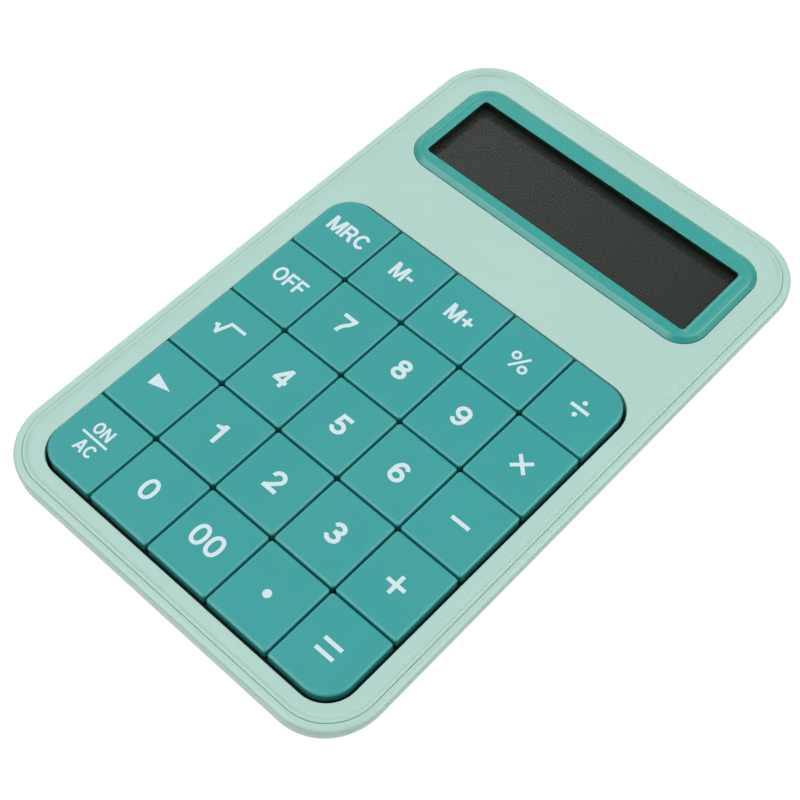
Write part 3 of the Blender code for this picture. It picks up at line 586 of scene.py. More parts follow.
def make_lower_case():
    """Tray with the rounded underside, the rim, and what is moulded inside it."""
    loops = quarter_loops((90, 84, 78, 71, 64, 56, 48, 40, 32, 24, 16, 8, 4, 0, -3, -6, -9), BASE_Z, 0.0, 0.0)
    loops.append(case_loop(0.0, 0.0, SIDE_WALL_Z))
    rim = (
        (0.0, 12.9), (0.0, 13.25), (0.07, 13.48), (0.22, 13.67), (0.5, 13.82), (0.9, 13.92), (1.35, 13.95),
        (1.78, 13.93), (RIM_INNER, 13.86),
    )
    for inset, z in curved(rim):
        loops.append(case_loop(max(inset, 0.0), max(inset, 0.0), min(z, CASE_HIGH.z)))
    loops.append(case_loop(RIM_INNER, RIM_INNER, LEDGE_Z))
    loops.append(case_loop(LEDGE_INSET, LEDGE_INSET, LEDGE_Z))
    loops += quarter_loops((6, 14, 26, 40, 50, 60, 70, 80, 90), FLOOR_Z, WALL_INSET, LEDGE_INSET)
    case = make_object("lower_case_shell", skin(loops))
    door = middle("battery_door")
    short_boss = ((0, 3.9), (3.1, 3.9), (3.2, 3.8), (3.3, 2.0), (0, 2.0))
    tall_boss = ((0, 8.0), (2.9, 8.0), (3.0, 7.9), (3.2, 3.0), (0, 3.0))
    board_pin = ((0, 3.9), (1.5, 3.9), (1.6, 3.8), (2.0, 2.0), (0, 2.0))
    bosses = [turned(short_boss, middle(f"case_screw_{index}")) for index in CASE_SCREWS_UNDER_KEYS]
    bosses += [turned(tall_boss, middle(f"case_screw_{index}")) for index in CASE_SCREWS_BY_DISPLAY]
    bosses += [turned(board_pin, centre, 24) for centre in ((-38.0, 40.0), (38.0, 40.0), (0.0, 4.0), (0.0, -56.0))]
    bosses += [block((x - 3.0, -80.0, 4.5), (x + 3.0, -77.2, 8.9)) for x in (-25.0, 0.0, 25.0)]
    core = skin(quarter_loops((90, 82, 74, 66, 57, 48, 38, 28, 18, 9, 0), BASE_Z + WALL_SKIN, WALL_SKIN, 0.0))
    combine(case, [trimmed(gathered(bosses), core)], "UNION")
    cup = (
        (10.5, 7.9), (12.1, 7.9), (12.2, 7.8), (12.2, 5.7), (14.2, 5.7), (14.2, 2.0),
        (11.0, 2.0), (11.0, 3.2), (12.9, 3.2), (12.9, 4.5), (10.5, 4.5),
    )
    combine(case, [turned(cup, door, 72, True)], "UNION")
    hole = (
        (0.0, 4.0), (11.2, 4.0), (11.2, 2.1), (13.1, 2.1), (13.1, 1.15), (13.5, 0.8),
        (13.5, BELOW_Z), (0.0, BELOW_Z),
    )
    combine(case, [turned(hole, door, 72)], "DIFFERENCE")
    cuts = [bore(SCREW_BORE, FLOOR_Z, 5.0, middle(f"case_screw_{index}")) for index in CASE_SCREWS_UNDER_KEYS]
    cuts += [bore(SCREW_BORE, 5.9, 9.0, middle(f"case_screw_{index}")) for index in CASE_SCREWS_BY_DISPLAY]
    cuts += [bore((FOOT_RADIUS, FOOT_RADIUS), 1.6, 1.6, middle(f"rubber_foot_{index}")) for index in FEET]
    for angle in (45.0, 225.0):
        notch = block((9.9, -4.95, 1.8), (12.7, 4.95, 3.5))
        notch.transform(Matrix.Translation((*door, 0.0)) @ Matrix.Rotation(math.radians(angle), 4, "Z"))
        cuts.append(notch)
    cuts.append(block((10.0, door[1] - 2.6, 4.8), (12.7, door[1] + 2.6, 8.5)))
    combine(case, [gathered(cuts)], "DIFFERENCE")
    finish_piece(case, MATERIALS["case_mint"], CASE_BODY, ["lower_case"])


def well_outline(grow):
    """Outline of the opening round the key block, made larger by grow."""
    half = (BLOCK_HALF[0] + WELL_SPACE[0] + grow, BLOCK_HALF[1] + WELL_SPACE[1] + grow)
    radius = KEY_CORNER + 1.0 + grow
    centre = (BLOCK_MIDDLE[0] + WELL_SHIFT[0], BLOCK_MIDDLE[1] + WELL_SHIFT[1])
    return rounded(half, (radius,) * 4, centre)


def flared(outline_at, bottom_z, lip_radius, top_z):
    """Cutter for an opening with a rounded lip at the panel."""
    loops = [at_height(outline_at(0.0), bottom_z)]
    for step in range(6):
        angle = math.radians(90.0 * step / 5)
        grow = lip_radius * (1.0 - math.cos(angle))
        loops.append(at_height(outline_at(grow), PANEL_Z - lip_radius * (1.0 - math.sin(angle))))
    loops.append(at_height(outline_at(lip_radius), top_z))
    return skin(loops)


def make_upper_case():
    """Panel with its raised lip, the well of the keys and the seat of the display's frame."""
    bottom = PANEL_EDGE + 1.4
    sections = [(bottom, PANEL_UNDER_Z), (bottom, 11.2), (TONGUE_EDGE, 11.2), (TONGUE_EDGE, 13.26)]
    sections += [(PANEL_EDGE, 13.3), (PANEL_EDGE, 13.5)]
    lip = (
        (PANEL_EDGE, 13.86), (2.08, 13.96), (2.22, 14.02), (2.42, 14.05), (2.68, 14.0), (2.92, 13.86),
        (3.18, 13.68), (3.5, 13.55), (4.0, 13.5), (4.8, PANEL_Z),
    )
    sections += [tuple(point) for point in curved(lip)]
    sections.append((5.0, PANEL_Z))
    case = make_object("upper_case_panel", skin([case_loop(inset, inset, z) for inset, z in sections]))
    rib = skin([at_height(well_outline(1.2), WELL_RIB_Z), at_height(well_outline(1.2), 12.5)])
    combine(case, [rib], "UNION")
    short_boss = ((0, 12.5), (1.9, 12.5), (1.9, 10.6), (1.8, 10.5), (0, 10.5))
    tall_boss = ((0, 12.5), (2.4, 12.5), (2.3, 8.3), (0, 8.3))
    bosses = [turned(short_boss, middle(f"frame_screw_{k}"), 24) for k in FRAME_SCREWS]
    bosses += [turned(tall_boss, middle(f"case_screw_{k}"), 24) for k in CASE_SCREWS_BY_DISPLAY]
    combine(case, [gathered(bosses)], "UNION")
    low, high = THROUGH_Z
    cuts = [flared(well_outline, low, 0.22, high)]
    cuts.append(skin([at_height(bezel_outline(-1.35), z) for z in THROUGH_Z]))
    short_pilot = ((0, 13.0), (PILOT_RADIUS, 13.0), (PILOT_RADIUS, 9.0), (0, 9.0))
    tall_pilot = ((0, 12.7), (PILOT_RADIUS, 12.7), (PILOT_RADIUS, 7.0), (0, 7.0))
    cuts += [turned(short_pilot, middle(f"frame_screw_{k}"), 24) for k in FRAME_SCREWS]
    cuts += [turned(tall_pilot, middle(f"case_screw_{k}"), 24) for k in CASE_SCREWS_BY_DISPLAY]
    combine(case, [gathered(cuts)], "DIFFERENCE")
    combine(case, [flared(lambda grow: bezel_outline(0.1 + grow), 12.9, 0.12, high)], "DIFFERENCE")
    finish_piece(case, MATERIALS["case_mint"], CASE_BODY, ["upper_case"])


# ---------------------------------------------------------------- keys

def key_loops():
    """Insets and heights up the outside of a key cap."""
    rows = [(0.0, KEY_BOTTOM_Z), (0.0, KEY_TOP_Z - KEY_ROUND[1] - 0.2)]
    for step in range(6):
        angle = math.radians(90.0 * step / 5)
        inset = KEY_ROUND[0] * (1.0 - math.cos(angle))
        rows.append((inset, KEY_TOP_Z - KEY_ROUND[1] * (1.0 - math.sin(angle))))
    rows.append((KEY_ROUND[0] + 0.25, KEY_TOP_Z))
    return rows


def key_shape(wide_corner):
    """Hollow cap with its stem and hooks, about the origin."""
    radii = [KEY_CORNER if index == wide_corner else KEY_SMALL_CORNER for index in range(4)]
    loops = []
    for inset, z in key_loops():
        rounds = [max(radius - inset, 0.12) if radius > 1.0 else max(radius - 0.8 * inset, 0.12) for radius in radii]
        half = (KEY_HALF[0] - inset, KEY_HALF[1] - inset)
        loops.append(at_height(key_outline(half, rounds, wide_corner), z))
    cap = make_object("key_shape", skin(loops))
    rounds = [radius - KEY_WALL if radius > KEY_WALL else 0.3 for radius in radii]
    inner = key_outline((KEY_HALF[0] - KEY_WALL, KEY_HALF[1] - KEY_WALL), rounds, wide_corner)
    combine(cap, [skin([at_height(inner, 10.9), at_height(inner, KEY_ROOF_Z)])], "DIFFERENCE")
    stem = block((-STEM_HALF, -STEM_HALF, STEM_BOTTOM_Z), (STEM_HALF, STEM_HALF, 13.8))
    hooks = block((-STEM_HALF - 0.8, -1.5, STEM_BOTTOM_Z), (STEM_HALF + 0.8, 1.5, STEM_BOTTOM_Z + 0.35))
    combine(cap, [stem, hooks], "UNION")
    mesh = cap.data
    bpy.data.objects.remove(cap, do_unlink=True)
    return mesh


def key_outline(half, radii, wide_corner):
    """Key outline whose wide corner keeps its number of points at any radius."""
    corners = ((1, -1, -90.0), (1, 1, 0.0), (-1, 1, 90.0), (-1, -1, 180.0))
    points = []
    for index, (side_x, side_y, start) in enumerate(corners):
        radius = radii[index]
        turns = CORNER_STEPS if index == wide_corner else 5
        for step in range(turns + 1):
            angle = math.radians(start + 90.0 * step / turns)
            x = side_x * (half[0] - radius) + radius * math.cos(angle)
            points.append((x, side_y * (half[1] - radius) + radius * math.sin(angle)))
    return points


def make_keys():
    """Every key at its place in the frame."""
    shapes = {}
    for names in KEY_ROWS:
        for name in names:
            corner = WIDE_CORNERS.get(name)
            if corner not in shapes:
                shapes[corner] = key_shape(corner)
            mesh = shapes[corner].copy()
            x, y = middle(name)
            mesh.transform(Matrix.Translation((x * MM, y * MM, 0.0)))
            cap = bpy.data.objects.new(name + "_cap", mesh)
            bpy.context.scene.collection.objects.link(cap)
            finish_piece(cap, MATERIALS["key_teal"], name, [name])


# ---------------------------------------------------------------- legends

def arc(centre, radii, start, end, steps=14, power=2.0):
    """Points along part of an ellipse, or of a squarer oval where the power is above 2."""
    points = []
    for step in range(steps + 1):
        angle = math.radians(start + (end - start) * step / steps)
        cos, sin = math.cos(angle), math.sin(angle)
        x = math.copysign(abs(cos) ** (2.0 / power), cos)
        y = math.copysign(abs(sin) ** (2.0 / power), sin)
        points.append((centre[0] + radii[0] * x, centre[1] + radii[1] * y))
    return points


def ring(centre, radii, power=2.0):
    return ("ring", arc(centre, radii, 0.0, 352.5, 47, power))


def path(*points):
    return ("path", list(points))


def shape(*points):
    return ("shape", list(points))


def glyphs(t):
    """Strokes of each character in units of its height, for strokes of width t."""
    h = 0.5 * t
    top = 1.0 - h
    six = [
        ring((0.36, 0.325), (0.36 - h, 0.325 - h)),
        path(*arc((0.385, 0.5), (0.385 - h, 0.5 - h), 205.0, 38.0, 16)),
    ]
    return {
        "0": [ring((0.35, 0.5), (0.35 - h, 0.5 - h), 2.25)],
        "1": [shape((0.0, 0.665), (0.0, 0.79), (0.14, 0.815), (0.25, 0.885), (0.315, 1.0), (0.51, 1.0),
                    (0.51, 0.0), (0.315, 0.0), (0.315, 0.665))],
        "2": [path(*arc((0.36, 0.675), (0.345 - h, 0.325 - h), 188.0, -32.0, 14), (0.33, 0.30), (0.17, 0.17),
                   (0.11, h)),
              path((0.0, h), (0.71, h))],
        "3": [path(*arc((0.35, 0.72), (0.325 - h, 0.28 - h), 172.0, -90.0, 14), (0.24, 0.44 + h)),
              path((0.24, 0.44 + h), *arc((0.35, 0.295), (0.355 - h, 0.295 - h), 88.0, -172.0, 16))],
        "4": [path((0.52, 0.0), (0.52, 1.0)), path((0.0, 0.285), (0.72, 0.285)),
              shape((0.0, 0.205), (0.0, 0.36), (0.425, 1.0), (0.615, 1.0), (0.615, 0.93), (0.13, 0.205))],
        "5": [path((0.10, top), (0.67, top)),
              shape((0.12, 1.0), (0.30, 1.0), (0.235, 0.50), (0.05, 0.50)),
              path((0.06, 0.53), *arc((0.355, 0.325), (0.355 - h, 0.325 - h), 128.0, -168.0, 18))],
        "6": six,
        "7": [path((0.0, top), (0.745, top)),
              path((0.66, top), *arc((0.95, 0.02), (0.68, 0.72), 128.0, 180.0, 8))],
        "8": [ring((0.35, 0.735), (0.32 - h, 0.265 - h)), ring((0.35, 0.29), (0.35 - h, 0.29 - h))],
        "9": [(kind, [(0.72 - x, 1.0 - y) for x, y in points]) for kind, points in six],
        "M": [path((h, 0.0), (h, 1.0)), path((0.90 - h, 0.0), (0.90 - h, 1.0)),
              shape((0.0, 1.0), (0.245, 1.0), (0.45, 0.29), (0.655, 1.0), (0.90, 1.0), (0.535, 0.0), (0.365, 0.0))],
        "R": [path((h, 0.0), (h, 1.0)),
              path((h, top), (0.42, top), *arc((0.44, 0.5 * (top + 0.46)), (0.27 - h, 0.5 * (top - 0.46)), 80.0, -80.0),
                   (0.42, 0.46), (h, 0.46)),
              shape((0.34, 0.50), (0.56, 0.50), (0.745, 0.0), (0.515, 0.0))],
        "C": [path(*arc((0.40, 0.5), (0.40 - h, 0.5 - h), 38.0, 322.0, 24))],
        "O": [ring((0.39, 0.5), (0.39 - h, 0.5 - h))],
        "F": [path((h, 0.0), (h, 1.0)), path((h, top), (0.61, top)), path((h, 0.49), (0.54, 0.49))],
        "N": [path((h, 0.0), (h, 1.0)), path((0.78 - h, 0.0), (0.78 - h, 1.0)),
              shape((0.0, 1.0), (0.22, 1.0), (0.78, 0.0), (0.56, 0.0))],
        "A": [shape((0.0, 0.0), (0.20, 0.0), (0.53, 1.0), (0.33, 1.0)),
              shape((0.33, 1.0), (0.53, 1.0), (0.86, 0.0), (0.66, 0.0)), path((0.18, 0.29), (0.68, 0.29))],
        "-": [path((0.0, 0.47), (0.40, 0.47))],
        "+": [path((0.0, 0.47), (0.66, 0.47)), path((0.33, 0.14), (0.33, 0.80))],
    }


def written(text, height, t, gap=0.09):
    """Strokes of a word, in millimetres about its middle."""
    known = glyphs(t)
    strokes = []
    cursor = 0.0
    for character in text:
        widest = 0.0
        for kind, points in known[character]:
            strokes.append((kind, [(x + cursor, y) for x, y in points]))
            reach = 0.0 if kind == "shape" else 0.5 * t
            far = max(x for x, _ in points)
            stroke_reach = reach if kind == "ring" or abs(points[-1][1] - points[0][1]) > 0.5 else 0.0
            widest = max(widest, far + stroke_reach)
        cursor += widest + gap
    half = 0.5 * (cursor - gap)
    moved = [(kind, [((x - half) * height, (y - 0.5) * height) for x, y in points]) for kind, points in strokes]
    return moved, t * height


def disc(centre, radius):
    return ("shape", arc(centre, (radius, radius), 0.0, 345.0, 23))


def bar(x, y, length):
    return path((x - 0.5 * length, y), (x + 0.5 * length, y))


def signs():
    """Strokes and stroke width of the legends that aren't words, in millimetres."""
    slash = [path((-1.55, -2.35), (1.6, 2.35))]
    return {
        "key_percent": ([ring((-1.75, 1.15), (0.9, 0.9)), ring((1.75, -1.2), (0.9, 0.9))] + slash, 0.66),
        "key_divide": ([bar(0.0, 0.0, 5.0), disc((0.0, 1.95), 0.62), disc((0.0, -1.95), 0.62)], 0.95),
        "key_multiply": ([path((-1.95, -1.85), (1.95, 1.85)), path((-1.95, 1.85), (1.95, -1.85))], 0.92),
        "key_square_root": ([path((-3.68, -0.35), (-2.95, 0.02), (-2.12, -1.95)),
                             path((-2.2, -2.2), (-0.62, 2.1), (3.7, 2.1))], 0.82),
        "key_subtract": ([bar(0.0, 0.0, 5.0)], 0.98),
        "key_backspace": ([shape((-2.75, -1.75), (2.75, 0.0), (-2.75, 1.75))], 0.9),
        "key_add": ([bar(0.0, 0.0, 5.0), path((0.0, -2.5), (0.0, 2.5))], 0.98),
        "key_decimal_point": ([disc((0.0, 0.0), 1.04)], 0.9),
        "key_equals": ([bar(0.0, 1.38, 5.0), bar(0.0, -1.38, 5.0)], 0.96),
    }


def on_clear():
    """The two words and the line between them."""
    upper, width = written("ON", 3.15, 0.19)
    lower, _ = written("AC", 3.25, 0.19, 0.04)
    strokes = [(kind, [(x, y + 2.65) for x, y in points]) for kind, points in upper]
    strokes += [(kind, [(x - 0.1, y - 2.9) for x, y in points]) for kind, points in lower]
    return strokes + [bar(0.0, 0.0, 7.7)], width


def borders(points, width, closed):
    """Both edges of a stroke of one width along a row of points, with mitred bends."""
    count = len(points)
    points = [Vector(point) for point in points]
    left, right = [], []
    for k, here in enumerate(points):
        one = here - points[k - 1] if k > 0 or closed else None
        two = points[(k + 1) % count] - here if k < count - 1 or closed else None
        one = (one or two).normalized()
        two = (two or one).normalized()
        normal = Vector((-one.y - two.y, one.x + two.x)).normalized()
        reach = 0.5 * width / max(0.5, normal.dot(Vector((-one.y, one.x))))
        left.append(here + normal * reach)
        right.append(here - normal * reach)
    return left, right


def prism(kind, points, width):
    """One stroke as a thin solid."""
    if kind == "shape":
        return slab(points, INK_Z)
    closed = kind == "ring"
    left, right = borders(points, width, closed)
    loops = []
    for one, two in zip(left, right):
        loops.append([
            Vector((one.x, one.y, INK_Z[0])), Vector((two.x, two.y, INK_Z[0])),
            Vector((two.x, two.y, INK_Z[1])), Vector((one.x, one.y, INK_Z[1])),
        ])
    return skin(loops, closed)


LEGENDS = {
    "key_mrc": ("MRC", 4.45, 0.188, (0.0, 0.6)),
    "key_m_minus": ("M-", 4.45, 0.182, (0.0, 0.55)),
    "key_m_plus": ("M+", 4.45, 0.182, (0.1, 0.55)),
    "key_off": ("OFF", 4.25, 0.175, (0.0, 0.8)),
    "key_7": ("7", 5.45, 0.185, (0.1, 0.5)),
    "key_8": ("8", 5.45, 0.185, (0.15, 0.4)),
    "key_9": ("9", 5.45, 0.185, (0.25, 0.35)),
    "key_4": ("4", 5.45, 0.18, (0.0, 0.6)),
    "key_5": ("5", 5.45, 0.185, (0.1, 0.3)),
    "key_6": ("6", 5.45, 0.185, (-0.1, 0.2)),
    "key_1": ("1", 5.45, 0.185, (-0.3, 0.3)),
    "key_2": ("2", 5.45, 0.185, (0.0, 0.3)),
    "key_3": ("3", 5.45, 0.185, (0.0, 0.1)),
    "key_0": ("0", 5.5, 0.172, (-0.5, 0.25)),
    "key_double_zero": ("00", 5.5, 0.172, (-0.35, 0.2)),
}
SIGN_PLACES = {
    "key_percent": (0.35, 0.25), "key_divide": (0.35, 0.0), "key_multiply": (0.25, 0.1),
    "key_square_root": (-0.15, 0.7), "key_subtract": (0.05, 0.0), "key_backspace": (-0.4, 0.35),
    "key_add": (-0.05, -0.15), "key_decimal_point": (-0.3, 0.05), "key_equals": (-0.3, -0.1),
    "key_on_clear": (-0.45, 0.55),
}


def make_legends():
    """Printed characters on the keys, one piece to a key."""
    drawn = {name: (*written(text, height, t), place) for name, (text, height, t, place) in LEGENDS.items()}
    for name, (strokes, width) in {**signs(), "key_on_clear": on_clear()}.items():
        drawn[name] = (strokes, width, SIGN_PLACES[name])
    for name, (strokes, width, (dx, dy)) in drawn.items():
        x, y = middle(name)
        solids = []
        for kind, points in strokes:
            placed = [(px + x + dx, py + y + dy) for px, py in points]
            solids.append(prism(kind, placed, width))
        legend = make_object(name + "_legend", solids[0])
        if len(solids) > 1:
            combine(legend, solids[1:], "UNION")
        finish_piece(legend, MATERIALS["legend_ink"], name)


# ---------------------------------------------------------------- display

BEZEL_LOW, BEZEL_HIGH = limits("display_bezel")
BEZEL_HALF = (BEZEL_HIGH.x, 0.5 * (BEZEL_HIGH.y - BEZEL_LOW.y))
BEZEL_MIDDLE = (0.0, 0.5 * (BEZEL_HIGH.y + BEZEL_LOW.y))
BEZEL_CORNER = 7.0
LENS_LOW, LENS_HIGH = limits("display_lens")
WINDOW_HALF = (LENS_HIGH.x - 1.5, 0.5 * (LENS_HIGH.y - LENS_LOW.y) - 1.5)
WINDOW_MIDDLE = (0.0, 0.5 * (LENS_HIGH.y + LENS_LOW.y))
WINDOW_CORNER = 1.1
LENS_CORNER = 2.6


def bezel_outline(grow):
    """Outline of the display's frame, made larger by grow."""
    half = (BEZEL_HALF[0] + grow, BEZEL_HALF[1] + grow)
    return rounded(half, (max(BEZEL_CORNER + grow, 2.0),) * 4, BEZEL_MIDDLE)


def window_outline(grow):
    """Outline of the window, made larger by grow."""
    half = (WINDOW_HALF[0] + grow, WINDOW_HALF[1] + grow)
    return rounded(half, (WINDOW_CORNER + max(grow, 0.0),) * 4, WINDOW_MIDDLE)


def make_bezel():
    """Raised frame: a soft outer ridge, a shallow channel and a bright inner edge, with a black sheet below it that
    paints the shade inside the window's recess.
    """
    loops = [at_height(window_outline(grow), z) for grow, z in (
        (1.8, 12.0), (1.8, 13.0), (0.75, 13.0), (0.75, 14.1), (0.0, 14.1), (0.0, 14.24), (0.05, 14.34),
        (0.16, 14.42), (0.32, 14.45), (0.55, 14.41), (0.8, 14.32),
    )]
    shoulder = ((-2.35, 14.32), (-2.1, 14.4), (-1.85, 14.465), (-1.6, 14.48), (-1.32, 14.41), (-1.02, 14.25),
                (-0.68, 14.01), (-0.36, 13.79), (-0.12, 13.62), (0.0, 13.5))
    loops += [at_height(bezel_outline(grow), z) for grow, z in curved(shoulder, 2)]
    loops += [at_height(bezel_outline(grow), z) for grow, z in ((0.0, 13.1), (-1.55, 13.1), (-1.55, 12.0))]
    bezel = make_object("display_frame", skin(loops, True))
    finish_piece(bezel, MATERIALS["bezel_teal"], CASE_BODY, ["display_bezel"])
    # Painted shade: a black sheet round the window's inner wall, darkening the recess where shade falls.
    shade_sheet = [at_height(window_outline(grow), z) for grow, z in (
        (0.7, 13.04), (0.02, 13.04), (0.02, 14.02), (0.08, 14.08), (0.7, 14.08),
    )]
    shade_sheet = make_object("display_recess_shade_sheet", skin(shade_sheet, True))
    finish_piece(shade_sheet, MATERIALS["inner_black"], CASE_BODY)


def make_display():
    """Window sheet over the liquid crystal panel."""
    half = (LENS_HIGH.x, 0.5 * (LENS_HIGH.y - LENS_LOW.y))
    sheet = slab(rounded(half, (LENS_CORNER,) * 4, WINDOW_MIDDLE), (LENS_LOW.z, LENS_HIGH.z), 0.1)
    finish_piece(make_object("display_window", sheet), MATERIALS["lens_clear"], CASE_BODY,
                 ["display_lens"])
    low, high = limits("lcd_panel")
    centre = middle("lcd_panel")
    front = rounded((high.x, 0.5 * (high.y - low.y)), (0.3,) * 4, centre, 4)
    panel = make_object("lcd_glass", slab(front, (10.5, high.z), 0.06))
    rear = block((low.x + 0.4, low.y + 2.7, low.z), (high.x - 0.4, high.y - 0.4, 10.7))
    combine(panel, [rear], "UNION")
    finish_piece(panel, MATERIALS["lcd_dark"], CASE_BODY, ["lcd_panel"])


# ---------------------------------------------------------------- base

def make_door():
    """Round battery door with a coin slot, lugs and a small pointer."""
    centre = middle("battery_door")
    low, high = limits("battery_door")
    profile = (
        (0.0, high.z), (8.9, high.z), (9.05, high.z - 0.05), (10.9, 3.5), (10.9, 1.8), (12.9, 1.8),
        (12.9, low.z + 0.3), (12.82, low.z + 0.1), (12.6, low.z), (0.0, low.z),
    )
    door = make_object("battery_door_cap", turned(profile, centre, 72))
    lug_radius = 12.4
    lug_angle = math.radians(22.0)
    reach = lug_radius * math.cos(lug_angle)
    half_width = lug_radius * math.sin(lug_angle)
    lugs = block((centre[0] - reach, centre[1] - half_width, 3.5), (centre[0] + reach, centre[1] + half_width, 4.1))
    combine(door, [lugs], "UNION")
    slot = skin([at_height(rounded((half_x, half_y), (half_y,) * 4, centre, 8), z) for half_x, half_y, z in (
        (7.25, 1.15, 0.5), (7.25, 1.15, low.z - 0.02), (7.05, 0.95, low.z + 0.18), (7.0, 0.9, 1.7),
    )])
    pointer = slab([(centre[0] - 1.0, centre[1] + 8.4), (centre[0] + 1.0, centre[1] + 8.4),
                    (centre[0], centre[1] + 10.6)], (0.5, low.z + 0.25))
    combine(door, [gathered([slot, pointer])], "DIFFERENCE")
    finish_piece(door, MATERIALS["case_mint"], DOOR_BODY, ["battery_door"])


def make_screw(node):
    """Pan head screw that points up, with a cross recess and a thread."""
    low, high = limits(node)
    centre = middle(node)
    head_top = low.z + 1.0
    profile = [(0.0, high.z), (0.3, high.z - 0.05), (0.78, high.z - 0.75)]
    z = high.z - 0.9
    while z > head_top + 0.7:
        profile += [(0.99, z), (0.99, z - 0.08), (0.8, z - 0.25)]
        z -= 0.45
    profile += [(0.8, head_top + 0.25), (1.0, head_top), (2.0, head_top), (2.0, low.z + 0.38), (1.9, low.z + 0.18),
                (1.65, low.z + 0.05), (1.2, low.z), (0.0, low.z)]
    screw = make_object(f"{node}_detail", turned(profile, centre, 32))
    cross = []
    for half_x, half_y in ((1.1, 0.22), (0.22, 1.1)):
        cross.append(skin([
            at_height([(centre[0] + x * half_x * size, centre[1] + y * half_y * size)
                       for x, y in ((1, -1), (1, 1), (-1, 1), (-1, -1))], z)
            for z, size in ((low.z - 0.3, 1.0), (low.z, 1.0), (low.z + 0.6, 0.78))
        ]))
    combine(screw, cross, "DIFFERENCE")
    finish_piece(screw, MATERIALS["steel"], CASE_BODY, [node])


def make_fasteners():
    """Screws of the case and of the key frame."""
    for index in CASE_SCREWS_UNDER_KEYS + CASE_SCREWS_BY_DISPLAY:
        make_screw(f"case_screw_{index}")
    for index in FRAME_SCREWS:
        make_screw(f"frame_screw_{index}")


def make_feet():
    """Rubber feet with a rounded edge and a shallow dish."""
    for index in FEET:
        low, high = limits(f"rubber_foot_{index}")
        radius = 0.5 * (high.x - low.x)
        profile = (
            (0.0, high.z), (radius, high.z), (radius, 0.45), (radius - 0.05, 0.24), (radius - 0.18, 0.09),
            (radius - 0.4, 0.01), (radius - 0.7, 0.0), (radius - 1.3, 0.0), (radius - 1.7, 0.06), (0.0, 0.1),
        )
        foot = make_object(f"rubber_foot_{index}_pad", turned(profile, middle(f"rubber_foot_{index}")))
        finish_piece(foot, MATERIALS["rubber_black"], CASE_BODY, [f"rubber_foot_{index}"])


# ---------------------------------------------------------------- inside

def make_keypad():
    """Silicone sheet, and a dome under each key."""
    low, high = limits("rubber_keypad")
    half = (high.x, 0.5 * (high.y - low.y))
    outline = rounded(half, (8.0,) * 4, middle("rubber_keypad"))
    sheet = make_object("keypad_sheet", slab(outline, (low.z, SHEET_TOP_Z), 0.1))
    screw_hole = ((0, 7.0), (1.8, 7.0), (1.8, 4.0), (0, 4.0))
    dome_hole = ((0, 7.0), (4.5, 7.0), (4.5, 4.0), (0, 4.0))
    holes = [turned(screw_hole, middle(f"case_screw_{k}"), 24) for k in CASE_SCREWS_UNDER_KEYS]
    holes += [turned(dome_hole, middle(name), 32) for row in KEY_ROWS for name in row]
    combine(sheet, [gathered(holes)], "DIFFERENCE")
    finish_piece(sheet, MATERIALS["silicone_grey"], CASE_BODY, ["rubber_keypad"])
    profile = (
        (0.0, high.z), (2.75, high.z), (2.8, high.z - 0.08), (3.2, 7.9), (4.2, 6.9), (5.0, 6.45), (5.2, SHEET_TOP_Z),
        (4.65, SHEET_TOP_Z), (4.4, 6.5), (3.4, 7.0), (2.4, 7.5), (0.0, 7.5),
    )
    for row in KEY_ROWS:
        for name in row:
            dome = make_object(f"dome_{name}", turned(profile, middle(name), 32))
            finish_piece(dome, MATERIALS["silicone_grey"], CASE_BODY)
            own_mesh(dome)


def dress_cad_nodes():
    """Give the inner CAD nodes that stay in view their materials; the key frame gets a painted-shade black that darkens
    the gaps between the keys.
    """
    looks = {
        "key_frame": "inner_black", "circuit_board": "board_green", "chip_blob": "epoxy_black", "capacitor": "steel",
        "lcd_holder": "inner_white", "zebra_strip": "rubber_black", "coin_cell": "steel",
        "battery_contact_minus": "steel", "battery_contact_plus": "steel", "battery_wire_minus": "wire_black",
        "battery_wire_plus": "wire_red",
    }
    for node, look in looks.items():
        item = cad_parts[node]
        item.data.materials.clear()
        item.data.materials.append(MATERIALS[look])


# ---------------------------------------------------------------- camera, light and floor

def make_camera():
    """Camera at the viewing angle."""
    data = bpy.data.cameras.new("camera")
    data.sensor_width = 36.0
    data.lens = CAMERA_LENS
    data.shift_x, data.shift_y = CAMERA_SHIFT
    data.clip_start = 0.01
    camera = bpy.data.objects.new("camera", data)
    camera.location = Vector(CAMERA_PLACE) * MM
    camera.rotation_euler = [math.radians(angle) for angle in CAMERA_TURN]
    bpy.context.scene.collection.objects.link(camera)
    bpy.context.scene.camera = camera


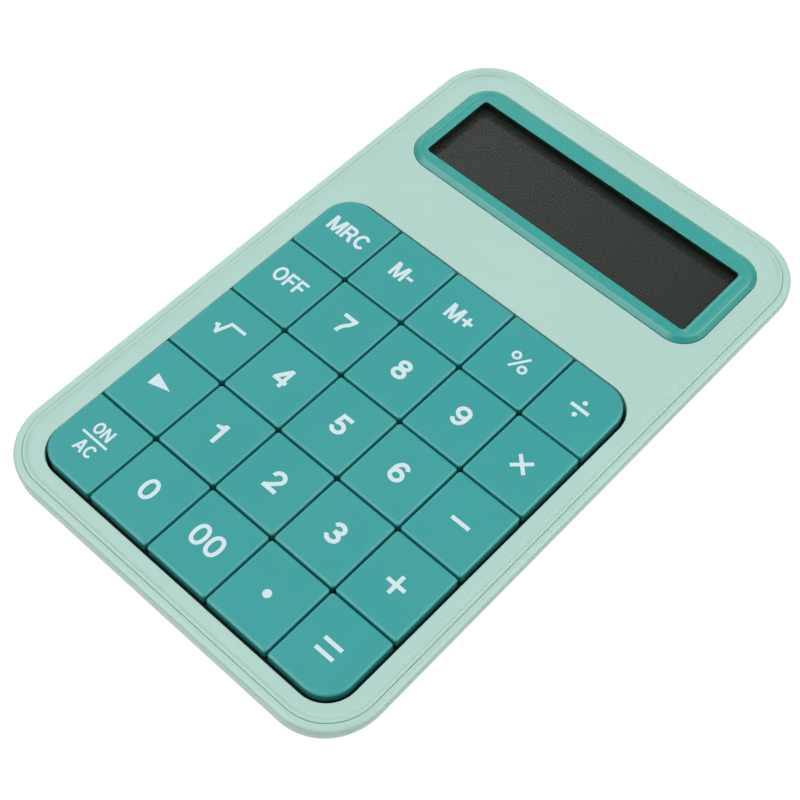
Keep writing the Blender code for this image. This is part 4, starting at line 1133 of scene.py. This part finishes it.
def make_floor():
    """Plain pale floor under the feet, lit from below like a light table."""
    bm = bmesh.new()
    bmesh.ops.create_grid(bm, x_segments=1, y_segments=1, size=FLOOR_HALF)
    floor = make_object("floor", bm)
    g = Graph("floor_white")
    g.shader.inputs["Base Color"].default_value = (FLOOR_COLOUR, FLOOR_COLOUR, FLOOR_COLOUR, 1.0)
    g.shader.inputs["Roughness"].default_value = 0.9
    g.shader.inputs["Specular IOR Level"].default_value = 0.0
    g.shader.inputs["Emission Color"].default_value = (1.0, 1.0, 1.0, 1.0)
    g.shader.inputs["Emission Strength"].default_value = FLOOR_GLOW
    floor.data.materials.append(g.material)


def make_light():
    """Studio whose walls glow evenly, with soft panels high at the back right and front left and a faint one low."""
    world = bpy.data.worlds.new("studio")
    bpy.context.scene.world = world
    world.use_nodes = True
    tree = world.node_tree
    tree.nodes.clear()
    output = tree.nodes.new("ShaderNodeOutputWorld")
    background = tree.nodes.new("ShaderNodeBackground")
    place = tree.nodes.new("ShaderNodeTexCoord")

    def combined(operation, first, second):
        node = tree.nodes.new("ShaderNodeMath")
        node.operation = operation
        for socket, value in zip(node.inputs, (first, second)):
            if isinstance(value, float):
                socket.default_value = value
            else:
                tree.links.new(value, socket)
        return node.outputs["Value"]

    total = SURROUND
    for strength, direction, from_cos, to_cos in GLOWS:
        nearness = tree.nodes.new("ShaderNodeVectorMath")
        nearness.operation = "DOT_PRODUCT"
        nearness.inputs[1].default_value = Vector(direction).normalized()
        tree.links.new(place.outputs["Generated"], nearness.inputs[0])
        rise = tree.nodes.new("ShaderNodeMapRange")
        rise.interpolation_type = "SMOOTHSTEP"
        rise.inputs["From Min"].default_value = from_cos
        rise.inputs["From Max"].default_value = to_cos
        tree.links.new(nearness.outputs["Value"], rise.inputs["Value"])
        total = combined("ADD", combined("MULTIPLY", rise.outputs["Result"], strength), total)
    tree.links.new(total, background.inputs["Strength"])
    tree.links.new(background.outputs["Background"], output.inputs["Surface"])


make_camera()
make_lower_case()
make_upper_case()
make_keys()
make_legends()
make_bezel()
make_display()
make_door()
make_fasteners()
make_feet()
make_keypad()
dress_cad_nodes()
make_floor()
make_light()
bpy.context.scene.view_settings.view_transform = "Standard"
